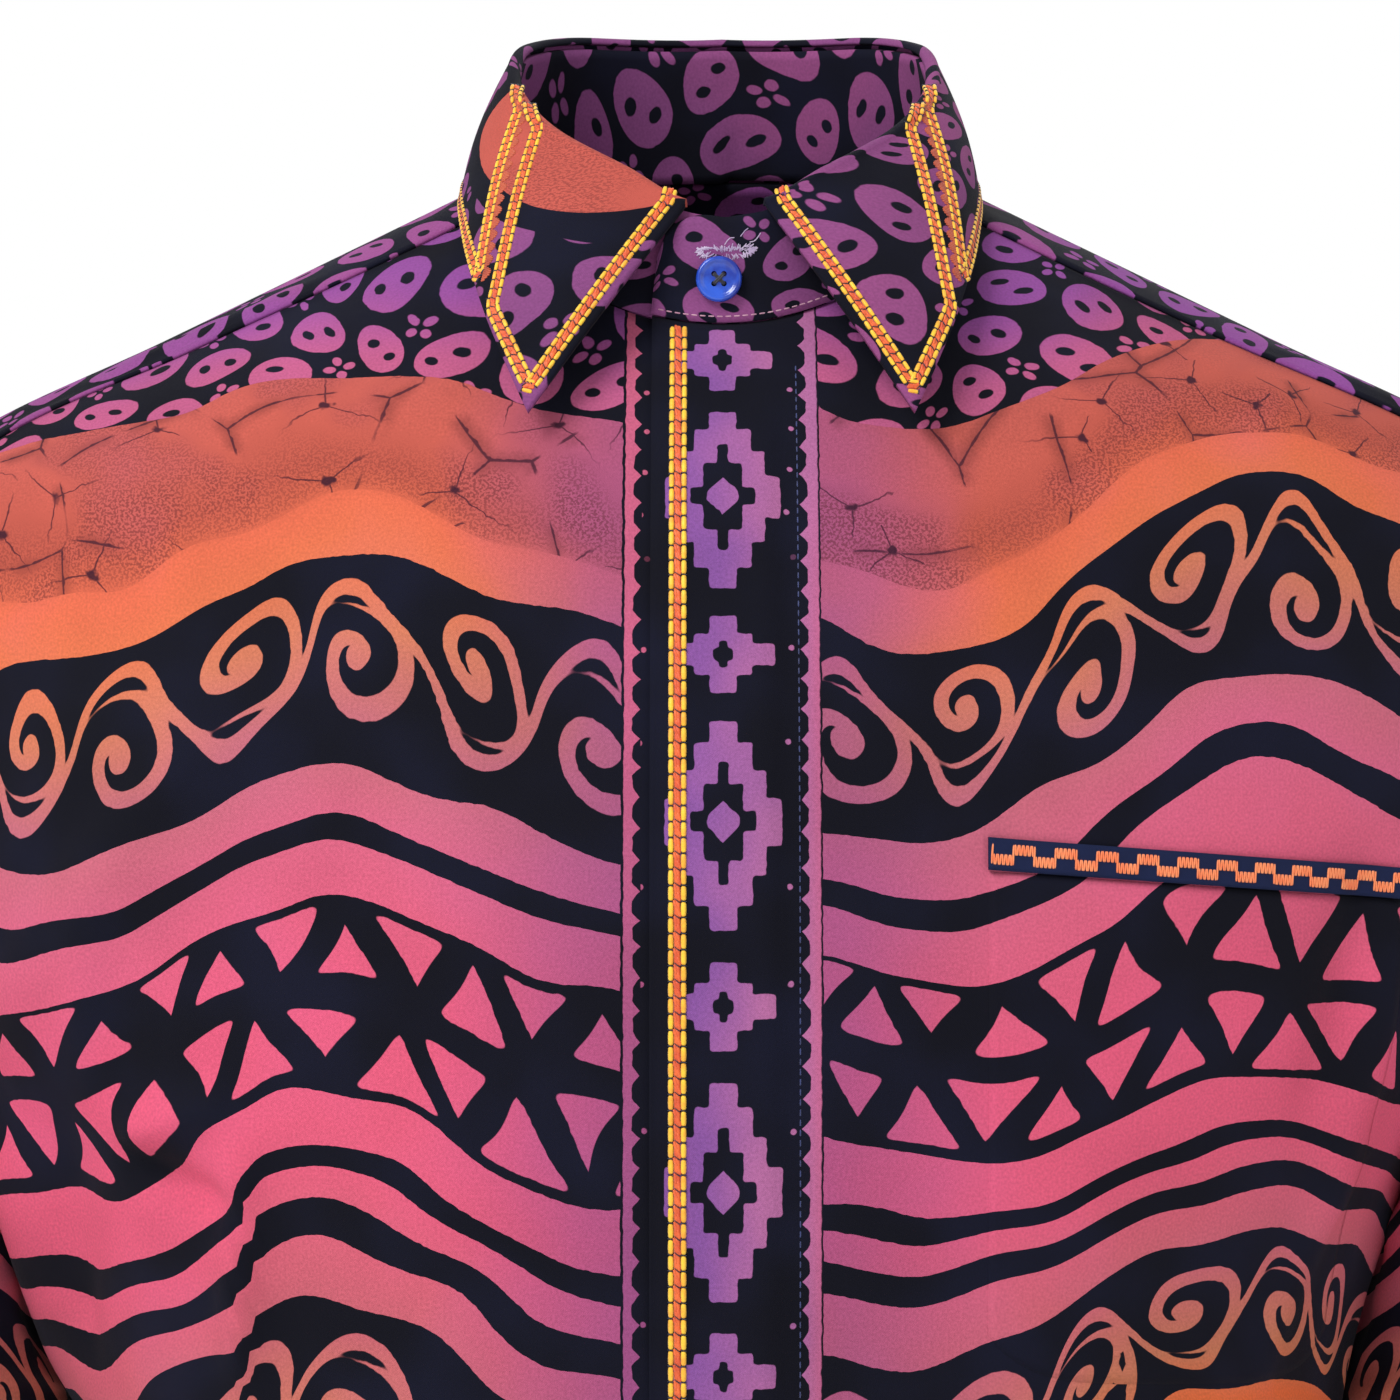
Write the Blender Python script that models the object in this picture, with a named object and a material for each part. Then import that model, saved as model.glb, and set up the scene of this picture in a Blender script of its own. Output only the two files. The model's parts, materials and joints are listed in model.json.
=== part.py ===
"""A man's long-sleeved batik shirt, filled out as if worn.

The origin is the centre of the neck at shoulder height. The front faces -Y, the wearer's left is +X and
+Z is up. Every body panel lies on one shape, `body_point(turn, z)`: turn runs round the body from the
centre front over the wearer's left side to the back, and z is the height. All sizes are in metres.
"""

import math
from dataclasses import dataclass

import bmesh
import bpy
from mathutils import Matrix, Vector

# ---- Cloth walls and seams ----
CLOTH = 0.0012
COLLAR_WALL = 0.0018
POCKET_WALL = 0.0010
SEAM = 0.0004
REST = 0.0004

# ---- Body ----
MID_Y = 0.008
HEM_Z = -0.765
HEM_RISE = 0.022
UNDERARM_Z = -0.275
SHOULDER_Z = -0.0803
ARMHOLE_HOLLOW = math.radians(26)
BACK_SEAM_Z = -0.120
HEM_WAVE = 0.0080
HEM_WAVES = 7
HEM_WAVE_TOP_Z = -0.42
HEM_CALM_TURN = (0.25, 0.75)
FRONT_SPREAD = 1.4
FRONT_SPLIT = 0.62
BACK_SPLIT = 0.68
YOKE_ARM_SHARE = 0.24

# ---- Neck ----
NECK_HALF_WIDTH = 0.0705
NECK_HALF_DEPTH = 0.060
NECK_MID_Y = -0.008
NECK_SHARE = 0.5
YOKE_NECK_ANGLE = math.radians(72.5)
YOKE_FRONT_ANGLE = math.radians(146)

# ---- Closure: the wearer's left front laps over the right one ----
LAP_EDGE = 0.0187
LAP_FADE = (0.023, 0.060)
FLY_BUTTON_WIDTH = 0.0110
FLY_BUTTON_THICK = 0.0016
FLY_BUTTONS_Z = (-0.105, -0.200, -0.295, -0.390, -0.485, -0.580)
FLY_LIFT_HALF_WIDTH = (0.011, 0.0180)
FLY_LIFT_EXTRA = 0.0007
FLY_LIFT_TOP = (-0.060, -0.085)

# ---- Collar ----
FOLD_HALF_WIDTH = 0.0600
FOLD_HALF_DEPTH = 0.0565
FOLD_MID_X = 0.0010
FOLD_MID_Y = -0.0105
STAND_GAP = 0.0006
STAND_LAP_TURN = math.radians(15.5)
STAND_LAP_FADE = (math.radians(20), math.radians(50))
STAND_END_RADIUS = 0.0150
STAND_END_DROP = 0.48
STAND_UNDER_END = 2 * math.pi + math.radians(14)
STAND_FINE_ANGLE = math.radians(20)
STAND_FINE_SHARE = 0.16
LEAF_ROLL = 0.0030
LEAF_BULGE = 0.0022
LEAF_CREST = 0.0008
LEAF_ROLL_ROWS = 5
LEAF_FALL_ROWS = 4

# ---- Buttons ----
BUTTON_WIDTH = 0.0126
BUTTON_THICK = 0.0026
BUTTON_HOLE = 0.0015
BUTTON_HOLE_PITCH = 0.0027
BUTTON_REST = 0.0003
STAND_BUTTON_X = -0.001
STAND_BUTTON_Z = -0.0315

# ---- Sleeves and cuffs ----
SLEEVE_SEAM = 0.0015
SLEEVE_SQUARE = 2.2
SLEEVE_SPREAD = 1.15
CUFF_TOP_Z = -0.595
CUFF_HEIGHT = 0.064
CUFF_HALF_WIDTH = 0.037
CUFF_HALF_DEPTH = 0.041
CUFF_MID = (0.250, 0.010)
CUFF_LAP = 0.022
CUFF_LAP_TURN = math.radians(50)
CUFF_BUTTON_DROP = 0.031
CUFF_BLEND = (0.86, 1.0)

# ---- Pocket on the wearer's left front ----
POCKET_RUN = (0.0690, 0.1900)
POCKET_MOUTH_Z = (-0.1900, -0.1994)
POCKET_HEIGHT = 0.132
POCKET_CORNER = 0.012
WELT_HEIGHT = 0.0083

# ---- Columns and rows of each piece's grid ----
GRIDS = {
    "front": (16, 28),
    "back": (28, 25),
    "yoke": (32, 8),
    "sleeve": (22, 20),
    "cuff": (28, 2),
    "stand": (40, 3),
    "leaf": (36, LEAF_ROLL_ROWS + LEAF_FALL_ROWS),
    "pocket": (9, 8),
    "welt": (9, 1),
}


@dataclass(frozen=True)
class Table:
    """Rows of sizes with named columns, read along the first column with a smooth monotone curve."""

    columns: tuple
    rows: tuple

    def at(self, name, place):
        """The column's value where the first column has the value `place`."""
        k = self.columns.index(name)
        xs = [row[0] for row in self.rows]
        ys = [row[k] for row in self.rows]
        if xs[0] > xs[-1]:
            xs.reverse()
            ys.reverse()
        if place <= xs[0]:
            return ys[0]
        if place >= xs[-1]:
            return ys[-1]
        i = max(j for j in range(len(xs) - 1) if xs[j] <= place)
        width = xs[i + 1] - xs[i]
        f = (place - xs[i]) / width
        rise = ys[i + 1] - ys[i]
        start = slope_at(xs, ys, i) * width
        end = slope_at(xs, ys, i + 1) * width
        cubic = start + end - 2 * rise
        square = 3 * rise - 2 * start - end
        return ys[i] + f * (start + f * (square + f * cubic))


def slope_at(xs, ys, i):
    """A slope at row i that keeps the curve monotone between its rows."""
    if i in (0, len(xs) - 1):
        j = min(i, len(xs) - 2)
        return (ys[j + 1] - ys[j]) / (xs[j + 1] - xs[j])
    before = (ys[i] - ys[i - 1]) / (xs[i] - xs[i - 1])
    after = (ys[i + 1] - ys[i]) / (xs[i + 1] - xs[i])
    if before * after <= 0:
        return 0.0
    return 2 * before * after / (before + after)


# Body sections by height: half widths to each side of the centre, depths before and behind MID_Y, and how
# square the section is (2 is an ellipse).
BODY = Table(
    ("z", "right", "left", "front", "back", "square"),
    (
        (0.030, 0.0140, 0.0140, 0.0120, 0.0180, 2.00),
        (0.012, 0.0520, 0.0520, 0.0320, 0.0440, 2.00),
        (0.000, 0.0755, 0.0755, 0.0440, 0.0560, 2.00),
        (-0.020, 0.1165, 0.1165, 0.0600, 0.0720, 2.00),
        (-0.042, 0.1617, 0.1617, 0.0745, 0.0840, 2.00),
        (-0.070, 0.2190, 0.2190, 0.0920, 0.0960, 2.00),
        (-0.095, 0.2475, 0.2475, 0.1035, 0.1040, 2.03),
        (-0.130, 0.2490, 0.2490, 0.1145, 0.1110, 2.08),
        (-0.170, 0.2440, 0.2420, 0.1235, 0.1160, 2.15),
        (-0.210, 0.2360, 0.2280, 0.1285, 0.1180, 2.22),
        (-0.245, 0.2230, 0.2120, 0.1300, 0.1170, 2.28),
        (-0.275, 0.2100, 0.1960, 0.1300, 0.1140, 2.32),
        (-0.300, 0.1995, 0.1860, 0.1290, 0.1110, 2.36),
        (-0.325, 0.1900, 0.1785, 0.1275, 0.1085, 2.40),
        (-0.350, 0.1825, 0.1735, 0.1260, 0.1070, 2.42),
        (-0.400, 0.1760, 0.1715, 0.1235, 0.1060, 2.44),
        (-0.500, 0.1790, 0.1780, 0.1220, 0.1090, 2.44),
        (-0.600, 0.1850, 0.1850, 0.1240, 0.1140, 2.42),
        (-0.765, 0.1960, 0.1960, 0.1280, 0.1200, 2.40),
    ),
)

# The folded top of the collar: its height by the angle round the neck from the centre front.
FOLD = Table(
    ("angle", "z"),
    (
        (0, -0.0115),
        (10, -0.0095),
        (26, 0.0000),
        (51, 0.0130),
        (75, 0.0275),
        (107, 0.0460),
        (140, 0.0530),
        (180, 0.0550),
    ),
)

# The outer edge of one collar leaf, from its point (0) round to the centre back (1).
LEAF = Table(
    ("place", "fold_angle", "x", "y", "z"),
    (
        (0.00, 10, 0.0515, -0.0930, -0.0690),
        (0.12, 26, 0.0575, -0.0870, -0.0560),
        (0.24, 44, 0.0645, -0.0750, -0.0395),
        (0.38, 65, 0.0710, -0.0500, -0.0190),
        (0.52, 86, 0.0745, -0.0180, -0.0022),
        (0.66, 108, 0.0735, 0.0120, 0.0055),
        (0.80, 134, 0.0615, 0.0415, 0.0085),
        (0.90, 156, 0.0335, 0.0590, 0.0085),
        (1.00, 180, 0.0000, 0.0640, 0.0080),
    ),
)

# Sleeve sections from the armhole to the cuff: how far the inner side hangs from the body's side, the inner
# height, the outer side's place, the section's middle in Y and its half depth.
SLEEVE = Table(
    ("place", "clear", "inner_z", "outer_x", "outer_z", "mid_y", "depth"),
    (
        (0.00, 0.0022, -0.2770, 0.2415, -0.0810, 0.006, 0.058),
        (0.04, 0.0024, -0.2830, 0.2640, -0.0905, 0.006, 0.060),
        (0.09, 0.0026, -0.2910, 0.2880, -0.1110, 0.007, 0.062),
        (0.15, 0.0028, -0.3020, 0.3060, -0.1430, 0.009, 0.064),
        (0.22, 0.0030, -0.3180, 0.3170, -0.1860, 0.011, 0.066),
        (0.31, 0.0035, -0.3420, 0.3235, -0.2380, 0.012, 0.067),
        (0.42, 0.0045, -0.3760, 0.3255, -0.3000, 0.012, 0.066),
        (0.55, 0.0080, -0.4250, 0.3230, -0.3720, 0.010, 0.062),
        (0.70, 0.0140, -0.4800, 0.3160, -0.4470, 0.008, 0.057),
        (0.84, 0.0220, -0.5370, 0.3060, -0.5200, 0.008, 0.051),
        (0.95, 0.0300, -0.5780, 0.2950, -0.5720, 0.010, 0.045),
        (1.00, 0.0320, -0.5946, 0.2870, -0.5946, 0.010, 0.041),
    ),
)

# The largest folds of the body: soft ridges (or troughs, with a minus height) between two places given by
# turn in degrees and height.
FOLDS = Table(
    ("name", "turn_a", "z_a", "turn_b", "z_b", "width", "height"),
    (
        ("right chest diagonal", -31, -0.140, -58, -0.240, 0.020, 0.0070),
        ("right side drag", -64, -0.262, -84, -0.350, 0.020, 0.0070),
        ("right waist", -36, -0.330, -66, -0.430, 0.024, 0.0070),
        ("left side drag", 84, -0.262, 74, -0.400, 0.020, 0.0065),
        ("left waist", 44, -0.385, 72, -0.470, 0.024, 0.0065),
        ("right back drag", -118, -0.180, -150, -0.380, 0.026, 0.0085),
        ("left back drag", 121, -0.170, 150, -0.350, 0.026, 0.0085),
        ("back middle", 172, -0.250, -170, -0.450, 0.028, 0.0070),
    ),
)

# Limp folds of a sleeve: turn from the outer side in degrees, and place along the sleeve.
SLEEVE_FOLDS = Table(
    ("name", "turn_a", "place_a", "turn_b", "place_b", "width", "height"),
    (
        ("underarm drag", -150, 0.13, -60, 0.27, 0.024, 0.0065),
        ("underarm back", 160, 0.16, 75, 0.33, 0.024, 0.0065),
        ("elbow front", -120, 0.48, -20, 0.56, 0.026, 0.0065),
        ("elbow inner", 170, 0.42, 100, 0.50, 0.024, 0.0060),
        ("forearm", -90, 0.70, 20, 0.78, 0.024, 0.0050),
        ("wrist", 60, 0.84, 150, 0.90, 0.018, 0.0040),
    ),
)
FOLD_RADIUS = 0.17
SLEEVE_RADIUS = 0.062
SLEEVE_RUN = 0.50

MATERIALS = {
    # name: colour, roughness, metallic
    "front_left": ((0.60, 0.10, 0.14), 0.78, 0.0),
    "front_right": ((0.62, 0.12, 0.10), 0.78, 0.0),
    "back": ((0.36, 0.07, 0.16), 0.78, 0.0),
    "yoke": ((0.16, 0.06, 0.26), 0.78, 0.0),
    "sleeve_left": ((0.50, 0.09, 0.12), 0.78, 0.0),
    "sleeve_right": ((0.52, 0.09, 0.11), 0.78, 0.0),
    "cuff_left": ((0.10, 0.04, 0.18), 0.78, 0.0),
    "cuff_right": ((0.10, 0.04, 0.18), 0.78, 0.0),
    "collar_stand": ((0.20, 0.07, 0.22), 0.75, 0.0),
    "collar_leaf": ((0.06, 0.03, 0.14), 0.75, 0.0),
    "pocket": ((0.58, 0.09, 0.15), 0.78, 0.0),
    "pocket_welt": ((0.02, 0.02, 0.07), 0.80, 0.0),
    "button": ((0.03, 0.10, 0.45), 0.18, 0.0),
}


def mix(a, b, f):
    """The value a fraction f of the way from a to b."""
    return a + (b - a) * f


def smooth(value, low, high):
    """0 before low, 1 past high, and a soft step between them."""
    f = min(max((value - low) / (high - low), 0.0), 1.0)
    return f * f * (3 - 2 * f)


def ridge(across, along, a, b, width, height):
    """The height that a soft ridge from a to b adds at a place, all in metres."""
    run = (b[0] - a[0], b[1] - a[1])
    length = math.hypot(*run)
    f = ((across - a[0]) * run[0] + (along - a[1]) * run[1]) / length**2
    f_in = min(max(f, 0.0), 1.0)
    off = math.hypot(across - a[0] - run[0] * f_in, along - a[1] - run[1] * f_in)
    fade = smooth(f, -0.15, 0.25) * (1 - smooth(f, 0.75, 1.15))
    return height * fade * math.exp(-((off / width) ** 2))


# ---- The body's shape ----


def body_fold(turn, z):
    """How far the largest folds and the hem's waves stand off the plain body at a place."""
    total = 0.0
    turn = (turn + math.pi) % (2 * math.pi) - math.pi
    for _, turn_a, z_a, turn_b, z_b, width, height in FOLDS.rows:
        a_turn = math.radians(turn_a)
        b_turn = a_turn + (math.radians(turn_b - turn_a) + math.pi) % (2 * math.pi) - math.pi
        near = a_turn + (turn - a_turn + math.pi) % (2 * math.pi) - math.pi
        a = (a_turn * FOLD_RADIUS, z_a)
        b = (b_turn * FOLD_RADIUS, z_b)
        total += ridge(near * FOLD_RADIUS, z, a, b, width, height)
    front_calm = smooth(abs(turn), *HEM_CALM_TURN)
    deep = smooth(-z, -HEM_WAVE_TOP_Z, -HEM_Z)
    wave = math.cos(HEM_WAVES * turn + 0.9 * math.sin(2 * turn + 0.7))
    return total + HEM_WAVE * deep * front_calm * wave


def plain_body_point(turn, z):
    """The body's surface without folds."""
    p = BODY.at("square", z)
    s = math.sin(turn)
    c = math.cos(turn)
    reach = (abs(s) ** p + abs(c) ** p) ** (-1 / p)
    half = BODY.at("left" if s > 0 else "right", z)
    depth = BODY.at("front" if c > 0 else "back", z)
    return Vector((half * s * reach, MID_Y - depth * c * reach, z))


def body_normal(turn, z):
    """The direction out of the body's plain surface."""
    step = 0.004
    across = plain_body_point(turn + step, z) - plain_body_point(turn - step, z)
    up = plain_body_point(turn, z + step) - plain_body_point(turn, z - step)
    return across.cross(up).normalized()


def body_point(turn, z, lift=0.0):
    """A place on the shirt's outside, moved out by lift."""
    return plain_body_point(turn, z) + body_normal(turn, z) * (body_fold(turn, z) + lift)


def place_above(x, y):
    """The turn and height of the shoulder surface at a place in plan."""
    low, high = -0.25, 0.030
    side = "left" if x > 0 else "right"
    face = "front" if y < MID_Y else "back"
    for _ in range(40):
        z = (low + high) / 2
        p = BODY.at("square", z)
        outside = (abs(x) / BODY.at(side, z)) ** p + (abs(y - MID_Y) / BODY.at(face, z)) ** p
        if outside > 1:
            high = z
        else:
            low = z
    turn = math.atan2(x / BODY.at(side, z), (MID_Y - y) / BODY.at(face, z))
    return turn, z


def turn_at(x, z):
    """The turn on the front where the body has a given x at height z."""
    p = BODY.at("square", z)
    share = min(abs(x) / BODY.at("left" if x > 0 else "right", z), 0.999)
    size = (share**p / (1 - share**p)) ** (1 / p)
    return math.copysign(math.atan(size), x)


# ---- The lines where panels meet, each as (turn, z) ----


def neck_place(angle):
    """The neck seam at an angle round the neck from the centre front, towards the wearer's left."""
    x = NECK_HALF_WIDTH * math.sin(angle)
    y = NECK_MID_Y - NECK_HALF_DEPTH * math.cos(angle)
    return place_above(x, y)


def armhole_place(angle, face):
    """The armhole: angle 0 is the underarm and pi the shoulder's tip; face is -1 in front and 1 behind."""
    middle = (UNDERARM_Z + SHOULDER_Z) / 2
    half = (SHOULDER_Z - UNDERARM_Z) / 2
    z = middle - half * math.cos(angle)
    return math.pi / 2 + face * ARMHOLE_HOLLOW * math.sin(angle), z


def back_seam_angle():
    """The armhole's angle where the back meets the yoke."""
    middle = (UNDERARM_Z + SHOULDER_Z) / 2
    half = (SHOULDER_Z - UNDERARM_Z) / 2
    return math.acos((middle - BACK_SEAM_Z) / half)


def hem_z(turn):
    """The hem's height, a little higher at the sides."""
    return HEM_Z + HEM_RISE * math.sin(turn) ** 2


def between(a, b, f):
    """The place a fraction f of the way between two places."""
    return mix(a[0], b[0], f), mix(a[1], b[1], f)


def patch(bottom, top, start, end, u, v):
    """A place inside four border lines, blended from all of them."""
    across = between(bottom(u), top(u), v)
    along = between(start(v), end(v), u)
    corners = between(between(bottom(0), bottom(1), u), between(top(0), top(1), u), v)
    return across[0] + along[0] - corners[0], across[1] + along[1] - corners[1]


# ---- Making solids ----


def material_for(name):
    """The piece's own material."""
    colour, roughness, metallic = MATERIALS[name if name in MATERIALS else "button"]
    material = bpy.data.materials.new(name)
    material.use_nodes = True
    shader = material.node_tree.nodes["Principled BSDF"]
    shader.inputs["Base Color"].default_value = (*colour, 1.0)
    shader.inputs["Roughness"].default_value = roughness
    shader.inputs["Metallic"].default_value = metallic
    material.diffuse_color = (*colour, 1.0)
    return material


def add_object(name, mesh_maker):
    """Turn a filled bmesh into the named object, with smooth faces and its own material."""
    mesh = bpy.data.meshes.new(name)
    mesh_maker.to_mesh(mesh)
    mesh_maker.free()
    mesh.materials.append(material_for(name))
    mesh.shade_smooth()
    piece = bpy.data.objects.new(name, mesh)
    bpy.context.scene.collection.objects.link(piece)
    return piece


def sheet(name, grid, place, thickness, flip=False, closed=False):
    """A cloth wall over place(u, v), its outer face, with u and v from 0 to 1.

    The wall is inside the outer face. flip turns the outer face over, and closed joins u = 1 to u = 0.
    """
    maker = bmesh.new()
    bmesh.ops.create_grid(maker, x_segments=grid[0], y_segments=grid[1], size=1.0)
    for vert in maker.verts:
        u = (vert.co.x + 1) / 2
        v = (vert.co.y + 1) / 2
        vert.co = place(u, v)
    if closed:
        bmesh.ops.remove_doubles(maker, verts=maker.verts[:], dist=1e-6)
    if flip:
        bmesh.ops.reverse_faces(maker, faces=maker.faces[:])
    piece = add_object(name, maker)
    wall = piece.modifiers.new("wall", "SOLIDIFY")
    wall.thickness = thickness
    wall.offset = -1
    wall.use_even_offset = False
    return piece


# ---- Body panels ----


def lap_lift(x, z):
    """How far the left front stands off the right one, by its distance from the centre and its height."""
    near = CLOTH + REST
    deep = near + FLY_BUTTON_THICK + FLY_LIFT_EXTRA
    over_buttons = 1 - smooth(abs(x), *FLY_LIFT_HALF_WIDTH)
    below_neck = smooth(-z, -FLY_LIFT_TOP[0], -FLY_LIFT_TOP[1])
    lift = mix(near, deep, over_buttons * below_neck)
    return lift * (1 - smooth(x, *LAP_FADE))


def front_place(side, u, v):
    """The turn and height on a front: u from its front edge to its side seam, v from the hem to the top.

    side is 1 for the wearer's left and -1 for the right; turns are given as on the left.
    """
    seam_turn = math.pi / 2 - SEAM / 2 / FOLD_RADIUS
    spread = u**FRONT_SPREAD

    def edge_turn(z):
        return -abs(turn_at(-side * LAP_EDGE, z))

    if v < FRONT_SPLIT:
        turn = mix(edge_turn(UNDERARM_Z), seam_turn, spread)
        z = mix(hem_z(turn), UNDERARM_Z, v / FRONT_SPLIT)
        return mix(edge_turn(z), seam_turn, spread), z

    f = (v - FRONT_SPLIT) / (1 - FRONT_SPLIT)
    neck_start = -math.asin(LAP_EDGE / NECK_HALF_WIDTH)

    def bottom(s):
        return mix(edge_turn(UNDERARM_Z), seam_turn, s**FRONT_SPREAD), UNDERARM_Z

    def top(s):
        if s < NECK_SHARE:
            return neck_place(mix(neck_start, YOKE_NECK_ANGLE, s / NECK_SHARE))
        neck_end = neck_place(YOKE_NECK_ANGLE)
        arm_end = armhole_place(YOKE_FRONT_ANGLE, -1)
        return between(neck_end, arm_end, (s - NECK_SHARE) / (1 - NECK_SHARE))

    def front_edge(s):
        z = mix(UNDERARM_Z, neck_place(neck_start)[1], s)
        return edge_turn(z), z

    def armhole(s):
        turn, z = armhole_place(s * YOKE_FRONT_ANGLE, -1)
        return min(turn, seam_turn), z

    return patch(bottom, top, front_edge, armhole, u, f)


def make_front(name, side):
    """One front, from the centre to the side seam and from the hem to the neck and the yoke."""

    def place(u, v):
        turn, z = front_place(side, u, v)
        lift = 0.0
        if side > 0:
            lift = lap_lift(plain_body_point(turn, z).x, z)
        return body_point(side * turn, z, lift)

    return sheet(name, GRIDS["front"], place, CLOTH, flip=side < 0)


def make_back():
    """The back, from side seam to side seam and from the hem to the yoke."""
    seam_turn = math.pi / 2 + SEAM / 2 / FOLD_RADIUS
    far_turn = 2 * math.pi - seam_turn
    corner = back_seam_angle()

    def bottom(s):
        return mix(seam_turn, far_turn, s), UNDERARM_Z

    def top(s):
        start, z = armhole_place(corner, 1)
        return mix(start, 2 * math.pi - start, s), z - SEAM

    def left_side(s):
        turn, z = armhole_place(s * corner, 1)
        return max(turn, seam_turn), z - SEAM * s

    def right_side(s):
        turn, z = left_side(s)
        return 2 * math.pi - turn, z

    def place(u, v):
        if v < BACK_SPLIT:
            turn = mix(seam_turn, far_turn, u)
            return body_point(turn, mix(hem_z(turn), UNDERARM_Z, v / BACK_SPLIT))
        f = (v - BACK_SPLIT) / (1 - BACK_SPLIT)
        return body_point(*patch(bottom, top, left_side, right_side, u, f))

    return sheet("back", GRIDS["back"], place, CLOTH)


def make_yoke():
    """The shoulder yoke, from the neck outwards to the fronts, the armholes and the back."""
    corner = back_seam_angle()

    def neck(s):
        angle = mix(YOKE_NECK_ANGLE, 2 * math.pi - YOKE_NECK_ANGLE, s)
        turn, z = neck_place(angle)
        return turn % (2 * math.pi), z

    def over_shoulder(f):
        along = YOKE_FRONT_ANGLE + f * (2 * math.pi - YOKE_FRONT_ANGLE - corner)
        if along <= math.pi:
            return armhole_place(along, -1)
        return armhole_place(2 * math.pi - along, 1)

    def outer(s):
        if s < YOKE_ARM_SHARE:
            return over_shoulder(s / YOKE_ARM_SHARE)
        if s > 1 - YOKE_ARM_SHARE:
            turn, z = over_shoulder((1 - s) / YOKE_ARM_SHARE)
            return 2 * math.pi - turn, z
        start = over_shoulder(1.0)
        f = (s - YOKE_ARM_SHARE) / (1 - 2 * YOKE_ARM_SHARE)
        return mix(start[0], 2 * math.pi - start[0], f), start[1]

    def place(u, v):
        turn, z = between(neck(u), outer(u), v)
        point = body_point(turn, z)
        clear = (1 - smooth(u, 0.0, 0.04)) + smooth(u, 0.96, 1.0)
        return point + Vector((0, SEAM * clear, 0))

    return sheet("yoke", GRIDS["yoke"], place, CLOTH)


# ---- Sleeves and cuffs ----


def sleeve_fold(turn, along):
    """How far the limp folds stand off a sleeve."""
    total = 0.0
    for _, turn_a, place_a, turn_b, place_b, width, height in SLEEVE_FOLDS.rows:
        a_turn = math.radians(turn_a)
        near = a_turn + (turn - a_turn + math.pi) % (2 * math.pi) - math.pi
        a = (a_turn * SLEEVE_RADIUS, place_a * SLEEVE_RUN)
        b = (math.radians(turn_b) * SLEEVE_RADIUS, place_b * SLEEVE_RUN)
        total += ridge(near * SLEEVE_RADIUS, along * SLEEVE_RUN, a, b, width, height)
    return total


def sleeve_ring(side, turn, along):
    """A place on a hanging sleeve: turn 0 is its outer side, -pi/2 its front and pi the underarm."""
    inner_z = SLEEVE.at("inner_z", along)
    body_half = BODY.at("left" if side > 0 else "right", inner_z)
    inner = Vector((body_half + SLEEVE.at("clear", along), 0, inner_z))
    outer = Vector((SLEEVE.at("outer_x", along), 0, SLEEVE.at("outer_z", along)))
    middle = (inner + outer) / 2
    half = (outer - inner) / 2
    p = SLEEVE_SQUARE
    reach = (abs(math.sin(turn)) ** p + abs(math.cos(turn)) ** p) ** (-1 / p)
    deep = SLEEVE.at("depth", along) * math.sin(turn) * reach
    point = middle + half * math.cos(turn) * reach
    return Vector((point.x, SLEEVE.at("mid_y", along) + deep, point.z))


def armhole_ring(side, turn):
    """The armhole seam under the sleeve's edge, at the same turn as the sleeve's rings."""
    face = -1 if math.sin(turn) < 0 else 1
    angle = math.pi - abs((turn + math.pi) % (2 * math.pi) - math.pi)
    body_turn, z = armhole_place(angle, face)
    point = body_point(side * body_turn, z)
    return Vector((side * point.x, point.y, point.z))


def clear_of_body(side, point, clear):
    """The x, seen on the wearer's left, that keeps a hanging sleeve off the body's side."""
    p = BODY.at("square", point.z)
    half = BODY.at("left" if side > 0 else "right", point.z)
    depth = BODY.at("front" if point.y < MID_Y else "back", point.z)
    share = min(abs(point.y - MID_Y) / depth, 0.99)
    turn = math.atan2(1.0, (MID_Y - point.y) / depth)
    fold = max(body_fold(side * turn, point.z), 0.0)
    return half * (1 - share**p) ** (1 / p) + fold + clear


def cuff_point(side, turn, z):
    """A place on a cuff's outside: turn 0 is its outer side and pi/2 its back."""
    x = CUFF_MID[0] + CUFF_HALF_WIDTH * math.cos(turn)
    return Vector((side * x, CUFF_MID[1] + CUFF_HALF_DEPTH * math.sin(turn), z))


def sleeve_point(side, turn, along):
    """A place on the sleeve's plain outside, seen on the wearer's left, sewn to the armhole at 0."""
    ring = sleeve_ring(side, turn, along)
    near = 1 - smooth(along, 0.0, 0.22)
    point = ring + (armhole_ring(side, turn) - sleeve_ring(side, turn, 0.0)) * near
    point.x += SLEEVE_SEAM * (1 - smooth(along, 0.0, 0.1))
    under = smooth(abs(turn), 1.5, 2.0)
    least = clear_of_body(side, point, SLEEVE.at("clear", along))
    if point.x < least:
        point.x = mix(point.x, least, under)
    return point.lerp(cuff_point(1, turn, point.z), smooth(along, *CUFF_BLEND))


def make_sleeve(name, side):
    """One sleeve, a tube from the armhole to the cuff that hangs beside the body."""

    def place(u, v):
        turn = (u - 0.5) * 2 * math.pi
        along = v**SLEEVE_SPREAD
        point = sleeve_point(side, turn, along)
        ahead = sleeve_point(side, turn + 0.02, along) - sleeve_point(side, turn - 0.02, along)
        down = point - sleeve_point(side, turn, max(along - 0.01, 0.0))
        calm = smooth(along, 0.05, 0.14) * (1 - smooth(along, 0.92, 1.0))
        out = down.cross(ahead)
        if out.length > 0:
            point += out.normalized() * sleeve_fold(turn, along) * calm
        return Vector((side * point.x, point.y, point.z))

    return sheet(name, GRIDS["sleeve"], place, CLOTH, flip=side > 0, closed=True)


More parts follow.
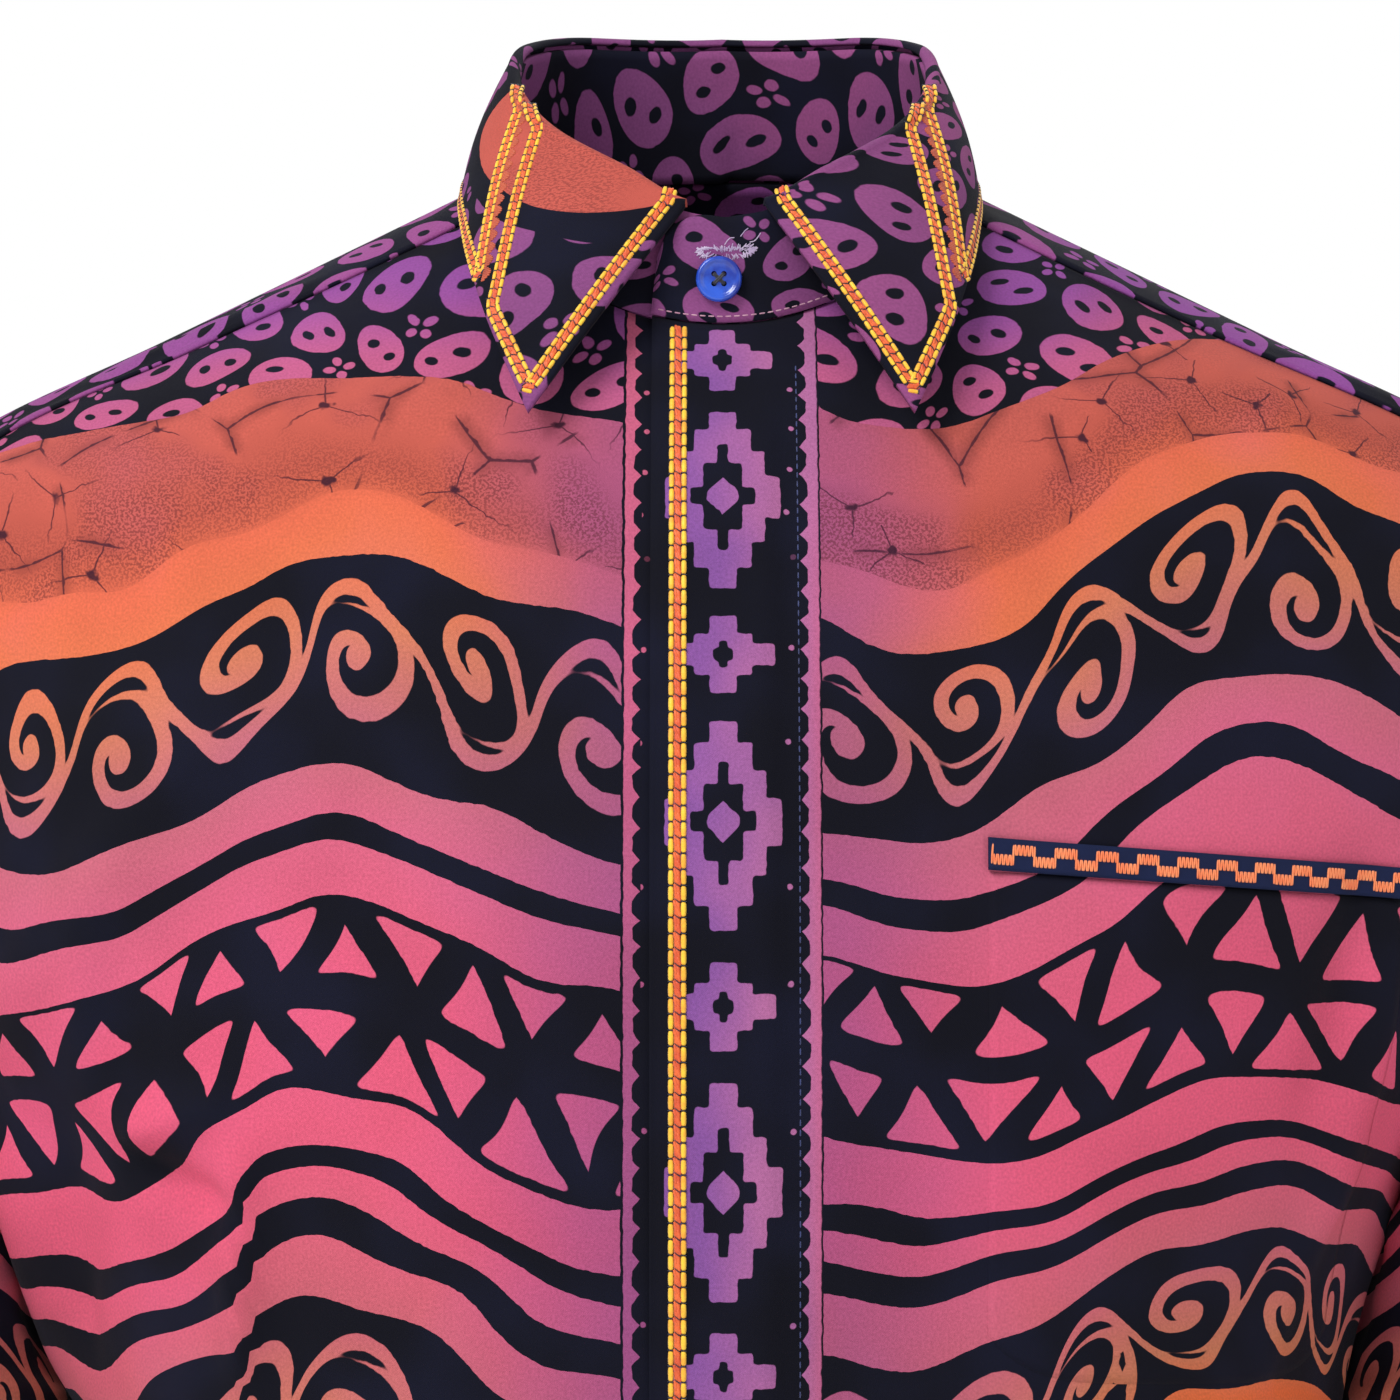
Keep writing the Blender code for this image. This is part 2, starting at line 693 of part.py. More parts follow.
def make_cuff(name, side):
    """A cuff: a band whose ends lap on the sleeve's outer back."""
    half_lap = CUFF_LAP / 2 / CUFF_HALF_DEPTH
    total = 2 * math.pi + 2 * half_lap

    def place(u, v):
        along = u * total
        turn = CUFF_LAP_TURN - half_lap + along
        lift = (CLOTH + REST) * (1 - smooth(along, 2 * half_lap + 0.1, 2 * half_lap + 0.8))
        across = Vector((side * math.cos(turn), math.sin(turn), 0))
        return cuff_point(side, turn, CUFF_TOP_Z - CUFF_HEIGHT * (1 - v)) + across * lift

    return sheet(name, GRIDS["cuff"], place, CLOTH, flip=side < 0)


def cuff_button_place(side):
    """Where a cuff's button sits and which way it faces."""
    turn = CUFF_LAP_TURN
    out = Vector((side * math.cos(turn) / CUFF_HALF_WIDTH, math.sin(turn) / CUFF_HALF_DEPTH, 0))
    out.normalize()
    point = cuff_point(side, turn, CUFF_TOP_Z - CUFF_BUTTON_DROP)
    return point + out * (CLOTH + REST + BUTTON_REST), out


# ---- Collar ----


def stand_point(angle, v):
    """A place on the collar band: angle round the neck, v from its seam to its top."""
    turn, z = neck_place(angle)
    lapped = angle < math.pi
    under = lap_lift(plain_body_point(turn, z).x, z) if lapped else 0.0
    base = plain_body_point(turn, z) + body_normal(turn, z) * under
    bend = abs((angle + math.pi) % (2 * math.pi) - math.pi)
    lift = stand_lift(angle)
    out = Vector((math.sin(angle), -math.cos(angle), 0))
    top = Vector(
        (
            FOLD_MID_X + FOLD_HALF_WIDTH * math.sin(angle),
            FOLD_MID_Y - FOLD_HALF_DEPTH * math.cos(angle),
            FOLD.at("z", math.degrees(bend)) - LEAF_ROLL,
        )
    )
    base += out * max(lift - under, 0.0) + Vector((0, 0, SEAM))
    return base.lerp(top + out * lift, v)


def stand_end_cut(angle):
    """The share of the band's height that is left near its rounded end on top."""
    distance = (angle + STAND_LAP_TURN) * NECK_HALF_WIDTH
    if distance >= STAND_END_RADIUS:
        return 1.0
    f = 1 - distance / STAND_END_RADIUS
    return 1 - STAND_END_DROP * (1 - math.sqrt(max(1 - f * f, 0.0)))


def stand_lift(angle):
    """How far the band's left end stands off the right end beneath it."""
    return (COLLAR_WALL + STAND_GAP) * (1 - smooth(angle, *STAND_LAP_FADE))


def make_stand():
    """The collar band: its wearer's left end laps over the right end at the centre front."""

    def place(u, v):
        if u < STAND_FINE_SHARE:
            angle = mix(-STAND_LAP_TURN, STAND_FINE_ANGLE, u / STAND_FINE_SHARE)
        else:
            f = (u - STAND_FINE_SHARE) / (1 - STAND_FINE_SHARE)
            angle = mix(STAND_FINE_ANGLE, STAND_UNDER_END, f)
        return stand_point(angle, v * stand_end_cut(angle))

    return sheet("collar_stand", GRIDS["stand"], place, COLLAR_WALL)


def make_leaf():
    """The collar leaf: it starts on the band's top, rolls over it and hangs down to its outer edge."""
    roll = (STAND_GAP + 2 * COLLAR_WALL) / 2

    def place(u, v):
        side = 1 if u < 0.5 else -1
        near = u * 2 if u < 0.5 else (1 - u) * 2
        angle = math.radians(LEAF.at("fold_angle", near))
        out = Vector((side * math.sin(angle), -math.cos(angle), 0))
        top = stand_point(angle if side > 0 else 2 * math.pi - angle, 1.0)
        edge = Vector((side * LEAF.at("x", near), LEAF.at("y", near), LEAF.at("z", near)))
        row = round(v * (LEAF_ROLL_ROWS + LEAF_FALL_ROWS))
        crest = top + out * (roll - COLLAR_WALL) + Vector((0, 0, STAND_GAP + LEAF_CREST))
        if row == 0:
            return top - out * COLLAR_WALL + Vector((0, 0, STAND_GAP))
        if row <= LEAF_ROLL_ROWS:
            bend = math.pi * (row - 1) / (LEAF_ROLL_ROWS - 1)
            return crest + (out * -math.cos(bend) + Vector((0, 0, math.sin(bend)))) * roll
        f = (row - LEAF_ROLL_ROWS) / LEAF_FALL_ROWS
        start = crest + out * roll
        bulge = out * LEAF_BULGE * math.sin(math.pi * f)
        return start.lerp(edge, f) + bulge

    return sheet("collar_leaf", GRIDS["leaf"], place, COLLAR_WALL, flip=True)


# ---- Pocket ----


def turn_after(run, z):
    """The turn that lies a run of cloth from the centre front, round the body at height z."""
    step = 0.01
    turn = 0.0
    here = plain_body_point(turn, z)
    while run > 0:
        ahead = plain_body_point(turn + step, z)
        length = (ahead - here).length
        if length >= run:
            return turn + step * run / length
        run -= length
        turn += step
        here = ahead
    return turn


def make_pocket():
    """The patch pocket and the welt along its mouth, both lying on the left front."""
    lift = REST + POCKET_WALL

    def spot(u, below):
        z = mix(POCKET_MOUTH_Z[0], POCKET_MOUTH_Z[1], u) - below
        return body_point(turn_after(mix(POCKET_RUN[0], POCKET_RUN[1], u), z), z, lift)

    def bag(u, v):
        corner = POCKET_CORNER * abs(2 * u - 1) ** 6
        return spot(u, (POCKET_HEIGHT - corner) * (1 - v))

    def welt(u, v):
        return spot(u, -SEAM - WELT_HEIGHT * v)

    sheet("pocket", GRIDS["pocket"], bag, POCKET_WALL)
    sheet("pocket_welt", GRIDS["welt"], welt, POCKET_WALL)


# ---- Buttons: profiles as shares of the radius and of the thickness ----

HOLED_BUTTON = ((0, 0), (0.70, 0), (1, 0.38), (0.96, 0.85), (0.84, 1), (0.66, 0.74), (0, 0.70))
FLAT_BUTTON = ((0, 0), (0.90, 0), (1, 0.50), (0.90, 1), (0, 1))


def make_button(name, width, thick, point, out, profile):
    """A button lying with its back at point and its face along out, turned from its profile."""
    maker = bmesh.new()
    verts = [maker.verts.new((r * width / 2, 0, h * thick)) for r, h in profile]
    edges = [maker.edges.new(pair) for pair in zip(verts, verts[1:])]
    bmesh.ops.spin(
        maker,
        geom=verts + edges,
        axis=(0, 0, 1),
        cent=(0, 0, 0),
        steps=16,
        angle=2 * math.pi,
        use_merge=True,
    )
    bmesh.ops.remove_doubles(maker, verts=maker.verts[:], dist=1e-6)
    bmesh.ops.recalc_face_normals(maker, faces=maker.faces[:])
    frame = out.to_track_quat("Z", "Y").to_matrix().to_4x4()
    button = add_object(name, maker)
    button.matrix_world = Matrix.Translation(point) @ frame
    if profile is HOLED_BUTTON:
        holes = make_hole_cutter(name, thick)
        holes.parent = button
        cut = button.modifiers.new("holes", "BOOLEAN")
        cut.operation = "DIFFERENCE"
        cut.object = holes
    return button


def make_hole_cutter(name, thick):
    """Four round pegs, used to cut a button's holes."""
    maker = bmesh.new()
    for i in range(4):
        turn = math.pi / 4 + i * math.pi / 2
        away = BUTTON_HOLE_PITCH / math.sqrt(2)
        where = Matrix.Translation((away * math.cos(turn), away * math.sin(turn), thick / 2))
        bmesh.ops.create_cone(
            maker,
            cap_ends=True,
            segments=8,
            radius1=BUTTON_HOLE / 2,
            radius2=BUTTON_HOLE / 2,
            depth=thick * 3,
            matrix=where,
        )
    cutter = add_object(name + "_holes", maker)
    cutter.hide_render = True
    cutter.display_type = "WIRE"
    return cutter


def make_buttons():
    """The button on the collar band, those hidden under the fly, and one on each cuff."""
    angle = math.asin(STAND_BUTTON_X / NECK_HALF_WIDTH)
    low = stand_point(angle, 0.0)
    high = stand_point(angle, 1.0)
    f = (STAND_BUTTON_Z - low.z) / (high.z - low.z)
    point = low.lerp(high, f)
    out = (high - low).cross(Vector((-1, 0, 0))).normalized()
    if out.y > 0:
        out = -out
    point += out * BUTTON_REST
    make_button("stand_button", BUTTON_WIDTH, BUTTON_THICK, point, out, HOLED_BUTTON)
    for number, z in enumerate(FLY_BUTTONS_Z, start=1):
        out = body_normal(0.0, z)
        point = body_point(0.0, z, BUTTON_REST)
        name = f"fly_button_{number}"
        make_button(name, FLY_BUTTON_WIDTH, FLY_BUTTON_THICK, point, out, FLAT_BUTTON)
    for name, side in (("cuff_button_left", 1), ("cuff_button_right", -1)):
        point, out = cuff_button_place(side)
        make_button(name, FLY_BUTTON_WIDTH, BUTTON_THICK, point, out, HOLED_BUTTON)


def main():
    """Clear the scene and make every piece of the shirt."""
    for old in list(bpy.data.objects):
        bpy.data.objects.remove(old)
    make_front("front_left", 1)
    make_front("front_right", -1)
    make_back()
    make_yoke()
    make_sleeve("sleeve_left", 1)
    make_sleeve("sleeve_right", -1)
    make_cuff("cuff_left", 1)
    make_cuff("cuff_right", -1)
    make_stand()
    make_leaf()
    make_pocket()
    make_buttons()
    bpy.context.view_layer.update()


main()
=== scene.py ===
"""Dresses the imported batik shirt: fine cloth shells on its solids, the dyed print, the stitching and buttons.

The shirt is filled out as if worn. The front faces -Y, the wearer's left is +X, +Z is up, and all sizes are
in metres. Every panel of the body lies on one surface, read by a turn round the body and a height.
"""

from __future__ import annotations

import json
import logging
import math
import random
from collections.abc import Callable, Iterable, Iterator, Sequence
from dataclasses import dataclass
from enum import Enum

import bmesh
import bpy
import numpy as np
from mathutils import Matrix, Vector

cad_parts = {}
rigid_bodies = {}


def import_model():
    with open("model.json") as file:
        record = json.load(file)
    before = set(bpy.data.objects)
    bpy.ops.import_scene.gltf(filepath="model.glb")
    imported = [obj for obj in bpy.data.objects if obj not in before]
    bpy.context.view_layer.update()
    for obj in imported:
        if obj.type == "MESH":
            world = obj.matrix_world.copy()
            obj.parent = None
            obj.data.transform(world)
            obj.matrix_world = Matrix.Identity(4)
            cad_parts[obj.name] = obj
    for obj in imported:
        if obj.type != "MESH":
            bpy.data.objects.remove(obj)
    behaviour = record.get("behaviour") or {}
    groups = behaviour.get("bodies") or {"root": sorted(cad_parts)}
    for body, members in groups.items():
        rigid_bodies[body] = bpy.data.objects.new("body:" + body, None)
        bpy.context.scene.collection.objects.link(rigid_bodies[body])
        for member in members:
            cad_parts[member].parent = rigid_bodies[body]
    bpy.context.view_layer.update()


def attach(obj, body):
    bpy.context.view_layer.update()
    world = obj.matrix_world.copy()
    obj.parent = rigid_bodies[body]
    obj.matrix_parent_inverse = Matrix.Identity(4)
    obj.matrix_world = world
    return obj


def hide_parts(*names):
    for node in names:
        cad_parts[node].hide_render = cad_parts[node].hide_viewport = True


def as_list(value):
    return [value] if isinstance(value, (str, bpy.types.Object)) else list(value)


LOG = logging.getLogger("batik_shirt")
Array = np.ndarray
Amount = Array | float
Spots = tuple[Array, Array]
Place = Callable[[Array, Array], Array]
Material = bpy.types.Material
Socket = bpy.types.NodeSocket
Thing = bpy.types.Object
Threads = dict[str, Material]

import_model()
TURN = 2 * math.pi

# ---- Sizes and tables of the shirt's shape, the same as the solids have ----
CLOTH = 0.0012
COLLAR_WALL = 0.0018
POCKET_WALL = 0.0010
BAG_WALL = 0.0003
SEAM = 0.0004
REST = 0.0004
MID_Y = 0.008
HEM_Z = -0.765
HEM_RISE = 0.022
UNDERARM_Z = -0.275
SHOULDER_Z = -0.0803
ARMHOLE_MID_Z = (UNDERARM_Z + SHOULDER_Z) / 2
ARMHOLE_HALF = (SHOULDER_Z - UNDERARM_Z) / 2
ARMHOLE_HOLLOW = math.radians(26)
BACK_SEAM_Z = -0.120
HEM_WAVE = 0.0080
HEM_WAVES = 7
HEM_WAVE_TOP_Z = -0.42
HEM_CALM_TURN = (0.25, 0.75)
FRONT_SPREAD = 1.4
FRONT_SPLIT = 0.62
BACK_SPLIT = 0.68
YOKE_ARM_SHARE = 0.24
NECK_HALF_WIDTH = 0.0705
NECK_HALF_DEPTH = 0.060
NECK_MID_Y = -0.008
NECK_SHARE = 0.5
YOKE_NECK_ANGLE = math.radians(72.5)
YOKE_FRONT_ANGLE = math.radians(146)
LAP_EDGE = 0.0187
LAP_FADE = (0.023, 0.060)
FLY_BUTTON_THICK = 0.0016
FLY_LIFT_HALF_WIDTH = (0.011, 0.0180)
FLY_LIFT_EXTRA = 0.0007
FLY_LIFT_TOP = (-0.060, -0.085)
FOLD_HALF_WIDTH = 0.0600
FOLD_HALF_DEPTH = 0.0565
FOLD_MID_X = 0.0010
FOLD_MID_Y = -0.0105
STAND_GAP = 0.0006
STAND_LAP_TURN = math.radians(15.5)
STAND_LAP_FADE = (math.radians(20), math.radians(50))
STAND_END_RADIUS = 0.0150
STAND_END_DROP = 0.48
STAND_UNDER_END = TURN + math.radians(14)
STAND_FINE_ANGLE = math.radians(20)
STAND_FINE_SHARE = 0.16
LEAF_ROLL = 0.0030
LEAF_BULGE = 0.0022
LEAF_CREST = 0.0008
BUTTON_WIDTH = 0.0126
BUTTON_THICK = 0.0026
BUTTON_HOLE = 0.0015
BUTTON_HOLE_PITCH = 0.0027
BUTTON_REST = 0.0003
STAND_BUTTON_X = -0.001
STAND_BUTTON_Z = -0.0315
CUFF_BUTTON_WIDTH = 0.0110
SLEEVE_SEAM = 0.0015
SLEEVE_SQUARE = 2.2
SLEEVE_SPREAD = 1.15
CUFF_TOP_Z = -0.595
CUFF_HEIGHT = 0.064
CUFF_HALF_WIDTH = 0.037
CUFF_HALF_DEPTH = 0.041
CUFF_MID = (0.250, 0.010)
CUFF_LAP = 0.022
CUFF_LAP_TURN = math.radians(50)
CUFF_BUTTON_DROP = 0.031
CUFF_BLEND = (0.86, 1.0)
POCKET_RUN = (0.0690, 0.1900)
POCKET_MOUTH_Z = (-0.1900, -0.1994)
POCKET_HEIGHT = 0.132
POCKET_CORNER = 0.012
WELT_HEIGHT = 0.0083
FOLD_RADIUS = 0.17
SLEEVE_RADIUS = 0.062
SLEEVE_RUN = 0.50
FINE_WAVE = 0.0009
SLEEVE_WAVE = 0.0008
HEIGHT_HALVINGS = 40
TURN_HALVINGS = 30
SETTLE_ROUNDS = 600


@dataclass(frozen=True)
class Table:
    """Rows of sizes with named columns, read along the first column with a smooth monotone curve."""

    columns: tuple[str, ...]
    rows: tuple[tuple, ...]

    def at(self, name: str, place: Amount) -> Array:
        """Read one column.

        Args:
            name: The column's name.
            place: Where along the first column to read.

        Returns:
            The column's value at each place.
        """
        k = self.columns.index(name)
        rows = sorted(self.rows)
        xs = np.array([row[0] for row in rows], float)
        ys = np.array([row[k] for row in rows], float)
        steps = np.diff(xs)
        rises = np.diff(ys) / steps
        slopes = np.empty_like(ys)
        slopes[0], slopes[-1] = rises[0], rises[-1]
        same_way = rises[:-1] * rises[1:] > 0
        total = np.where(same_way, rises[:-1] + rises[1:], 1.0)
        slopes[1:-1] = np.where(same_way, 2 * rises[:-1] * rises[1:] / total, 0.0)
        place = np.clip(np.asarray(place, float), xs[0], xs[-1])
        i = np.clip(np.searchsorted(xs, place, side="right") - 1, 0, len(xs) - 2)
        f = (place - xs[i]) / steps[i]
        rise = ys[i + 1] - ys[i]
        start, end = slopes[i] * steps[i], slopes[i + 1] * steps[i]
        return ys[i] + f * (start + f * (3 * rise - 2 * start - end + f * (start + end - 2 * rise)))


BODY = Table(
    ("z", "right", "left", "front", "back", "square"),
    (
        (0.030, 0.0140, 0.0140, 0.0120, 0.0180, 2.00), (0.012, 0.0520, 0.0520, 0.0320, 0.0440, 2.00),
        (0.000, 0.0755, 0.0755, 0.0440, 0.0560, 2.00), (-0.020, 0.1165, 0.1165, 0.0600, 0.0720, 2.00),
        (-0.042, 0.1617, 0.1617, 0.0745, 0.0840, 2.00), (-0.070, 0.2190, 0.2190, 0.0920, 0.0960, 2.00),
        (-0.095, 0.2475, 0.2475, 0.1035, 0.1040, 2.03), (-0.130, 0.2490, 0.2490, 0.1145, 0.1110, 2.08),
        (-0.170, 0.2440, 0.2420, 0.1235, 0.1160, 2.15), (-0.210, 0.2360, 0.2280, 0.1285, 0.1180, 2.22),
        (-0.245, 0.2230, 0.2120, 0.1300, 0.1170, 2.28), (-0.275, 0.2100, 0.1960, 0.1300, 0.1140, 2.32),
        (-0.300, 0.1995, 0.1860, 0.1290, 0.1110, 2.36), (-0.325, 0.1900, 0.1785, 0.1275, 0.1085, 2.40),
        (-0.350, 0.1825, 0.1735, 0.1260, 0.1070, 2.42), (-0.400, 0.1760, 0.1715, 0.1235, 0.1060, 2.44),
        (-0.500, 0.1790, 0.1780, 0.1220, 0.1090, 2.44), (-0.600, 0.1850, 0.1850, 0.1240, 0.1140, 2.42),
        (-0.765, 0.1960, 0.1960, 0.1280, 0.1200, 2.40),
    ),
)
FOLD = Table(
    ("angle", "z"),
    (
        (0, -0.0115), (10, -0.0095), (26, 0.0000), (51, 0.0130),
        (75, 0.0275), (107, 0.0460), (140, 0.0530), (180, 0.0550),
    ),
)
LEAF = Table(
    ("place", "fold_angle", "x", "y", "z"),
    (
        (0.00, 10, 0.0515, -0.0930, -0.0690), (0.12, 26, 0.0575, -0.0870, -0.0560),
        (0.24, 44, 0.0645, -0.0750, -0.0395), (0.38, 65, 0.0710, -0.0500, -0.0190),
        (0.52, 86, 0.0745, -0.0180, -0.0022), (0.66, 108, 0.0735, 0.0120, 0.0055),
        (0.80, 134, 0.0615, 0.0415, 0.0085), (0.90, 156, 0.0335, 0.0590, 0.0085),
        (1.00, 180, 0.0000, 0.0640, 0.0080),
    ),
)
SLEEVE = Table(
    ("place", "clear", "inner_z", "outer_x", "outer_z", "mid_y", "depth"),
    (
        (0.00, 0.0022, -0.2770, 0.2415, -0.0810, 0.006, 0.058),
        (0.04, 0.0024, -0.2830, 0.2640, -0.0905, 0.006, 0.060),
        (0.09, 0.0026, -0.2910, 0.2880, -0.1110, 0.007, 0.062),
        (0.15, 0.0028, -0.3020, 0.3060, -0.1430, 0.009, 0.064),
        (0.22, 0.0030, -0.3180, 0.3170, -0.1860, 0.011, 0.066),
        (0.31, 0.0035, -0.3420, 0.3235, -0.2380, 0.012, 0.067),
        (0.42, 0.0045, -0.3760, 0.3255, -0.3000, 0.012, 0.066),
        (0.55, 0.0080, -0.4250, 0.3230, -0.3720, 0.010, 0.062),
        (0.70, 0.0140, -0.4800, 0.3160, -0.4470, 0.008, 0.057),
        (0.84, 0.0220, -0.5370, 0.3060, -0.5200, 0.008, 0.051),
        (0.95, 0.0300, -0.5780, 0.2950, -0.5720, 0.010, 0.045),
        (1.00, 0.0320, -0.5946, 0.2870, -0.5946, 0.010, 0.041),
    ),
)
# Folds: the turn in degrees and the place of both ends, then the width and the height. The place is a height
# on the body and a share of the length on a sleeve. The solids' own folds come before the finer creases.
BODY_FOLDS = (
    # the right front and side
    (-31, -0.140, -58, -0.240, 0.020, 0.0070), (-64, -0.262, -84, -0.350, 0.020, 0.0070),
    (-36, -0.330, -66, -0.430, 0.024, 0.0070),
    # the left side and waist
    (84, -0.262, 74, -0.400, 0.020, 0.0065), (44, -0.385, 72, -0.470, 0.024, 0.0065),
    # the back
    (-118, -0.180, -150, -0.380, 0.026, 0.0085), (121, -0.170, 150, -0.350, 0.026, 0.0085),
    (172, -0.250, -170, -0.450, 0.028, 0.0070),
)
BODY_CREASES = (
    # the right front under the arm
    (-34, -0.258, -39, -0.325, 0.0055, 0.0060), (-34, -0.250, -45, -0.262, 0.0060, 0.0046),
    (-45, -0.268, -35, -0.281, 0.0060, -0.0046), (-35, -0.150, -60, -0.236, 0.0080, -0.0030),
    (-58, -0.205, -71, -0.262, 0.0080, 0.0030), (-41, -0.186, -47, -0.250, 0.0070, 0.0024),
    (-50, -0.256, -64, -0.330, 0.0110, -0.0040),
    # the left front under the arm
    (45, -0.185, 47, -0.262, 0.0080, -0.0030), (51, -0.190, 54, -0.290, 0.0090, 0.0030),
    (58, -0.262, 49, -0.330, 0.0090, 0.0024),
    # above the pocket, and pressed lines
    (15.6, -0.163, 16.4, -0.184, 0.0035, 0.0009), (-43, -0.192, -16, -0.186, 0.0022, 0.0004),
    (-18.5, -0.182, -19.0, -0.204, 0.0022, 0.0004),
    # the shoulders
    (-70, -0.0520, -58, -0.0300, 0.0060, 0.0014), (-74, -0.0680, -60, -0.0450, 0.0050, -0.0010),
    (66, -0.0470, 72, -0.0700, 0.0060, 0.0012),
    # the lower fronts
    (-22, -0.400, -30, -0.640, 0.0160, 0.0030), (-58, -0.470, -50, -0.600, 0.0130, 0.0032),
    (26, -0.420, 21, -0.660, 0.0160, 0.0028), (62, -0.500, 68, -0.640, 0.0130, 0.0034),
    (44, -0.520, 40, -0.660, 0.0120, -0.0024),
    # the back
    (-152, -0.140, -140, -0.225, 0.0110, 0.0026), (158, -0.135, 146, -0.230, 0.0110, 0.0024),
    (-160, -0.360, -128, -0.420, 0.0120, 0.0030), (162, -0.380, 124, -0.430, 0.0130, 0.0032),
    (-140, -0.480, -146, -0.640, 0.0150, 0.0034), (138, -0.500, 130, -0.660, 0.0150, 0.0030),
    (176, -0.520, -178, -0.660, 0.0140, -0.0026),
)
# Where folds lap over: the turn in degrees and the height of both ends, and the width of cloth they hide.
TUCKS = (
    (-33, -0.264, -38, -0.325, 0.0110),
    (24, -0.470, 22, -0.600, 0.0060),
    (-24, -0.480, -28, -0.600, 0.0070),
)
SLEEVE_FOLDS = (
    (-150, 0.13, -60, 0.27, 0.024, 0.0065), (160, 0.16, 75, 0.33, 0.024, 0.0065),
    (-120, 0.48, -20, 0.56, 0.026, 0.0065), (170, 0.42, 100, 0.50, 0.024, 0.0060),
    (-90, 0.70, 20, 0.78, 0.024, 0.0050), (60, 0.84, 150, 0.90, 0.018, 0.0040),
)
SLEEVE_CREASES = (
    # the cap
    (-60, 0.10, -20, 0.19, 0.0100, 0.0022), (70, 0.09, 30, 0.20, 0.0110, 0.0020),
    # the elbow and the limp cloth inside it
    (-165, 0.33, -80, 0.36, 0.0090, 0.0036), (-160, 0.40, -95, 0.45, 0.0080, -0.0026),
    (-100, 0.545, -35, 0.60, 0.0080, 0.0030), (40, 0.50, 120, 0.57, 0.0090, 0.0032),
    # the forearm and the wrist
    (-70, 0.62, 0, 0.66, 0.0080, -0.0024), (60, 0.66, 140, 0.73, 0.0090, 0.0028),
    (-150, 0.74, -70, 0.82, 0.0080, 0.0026), (-110, 0.86, -60, 0.93, 0.0070, 0.0022),
    (-20, 0.86, 20, 0.94, 0.0070, 0.0018),
)


def mix(a: Amount, b: Amount, f: Amount) -> Amount:
    """The value a fraction f of the way from a to b."""
    return a + (b - a) * f


def smooth(value: Amount, low: float, high: float) -> Array:
    """0 before low, 1 past high, and a soft step between them."""
    f = np.clip((value - low) / (high - low), 0.0, 1.0)
    return f * f * (3 - 2 * f)


def stack(x: Amount, y: Amount, z: Amount) -> Array:
    """Points from their three coordinates."""
    return np.stack(np.broadcast_arrays(x, y, z), axis=-1)


def unit(vectors: Array) -> Array:
    """The vectors at length one."""
    return vectors / np.maximum(np.linalg.norm(vectors, axis=-1, keepdims=True), 1e-12)


def near_turn(turn: Array, middle: float) -> Array:
    """The turn brought within half a round of middle."""
    return middle + (turn - middle + math.pi) % TURN - math.pi


def ridge(across: Array, along: Array, a: tuple, b: tuple, width: float, height: float) -> Array:
    """The height that a soft ridge from a to b adds at each place.

    Args:
        across: Places' distances round the cloth.
        along: Places' distances up or along the cloth.
        a: Where the ridge starts.
        b: Where it ends.
        width: How far from its line it falls to about a third.
        height: Its height, or a trough's depth with a minus.

    Returns:
        The height at each place.
    """
    run = (b[0] - a[0], b[1] - a[1])
    length = math.hypot(*run)
    f = ((across - a[0]) * run[0] + (along - a[1]) * run[1]) / length**2
    f_in = np.clip(f, 0.0, 1.0)
    off = np.hypot(across - a[0] - run[0] * f_in, along - a[1] - run[1] * f_in)
    fade = smooth(f, -0.15, 0.25) * (1 - smooth(f, 0.75, 1.15))
    return height * fade * np.exp(-((off / width) ** 2))


def folds_at(
    table: Sequence[tuple], turn: Array, place: Array, radius: float, run: float, wrapped: bool
) -> Array:
    """The height that all folds of a table add at each place.

    Args:
        table: The folds, by both ends, width and height.
        turn: The turn round the body.
        place: The place along the cloth.
        radius: The metres to a turn of one radian.
        run: The metres to a place of one.
        wrapped: Whether a fold may cross the back's middle.

    Returns:
        The height at each place.
    """
    total = np.zeros(np.broadcast(turn, place).shape)
    for turn_a, place_a, turn_b, place_b, width, height in table:
        a_turn, b_turn = math.radians(turn_a), math.radians(turn_b)
        if wrapped:
            b_turn = float(near_turn(b_turn, a_turn))
        a = (a_turn * radius, place_a * run)
        b = (b_turn * radius, place_b * run)
        total += ridge(near_turn(turn, a_turn) * radius, place * run, a, b, width, height)
    return total


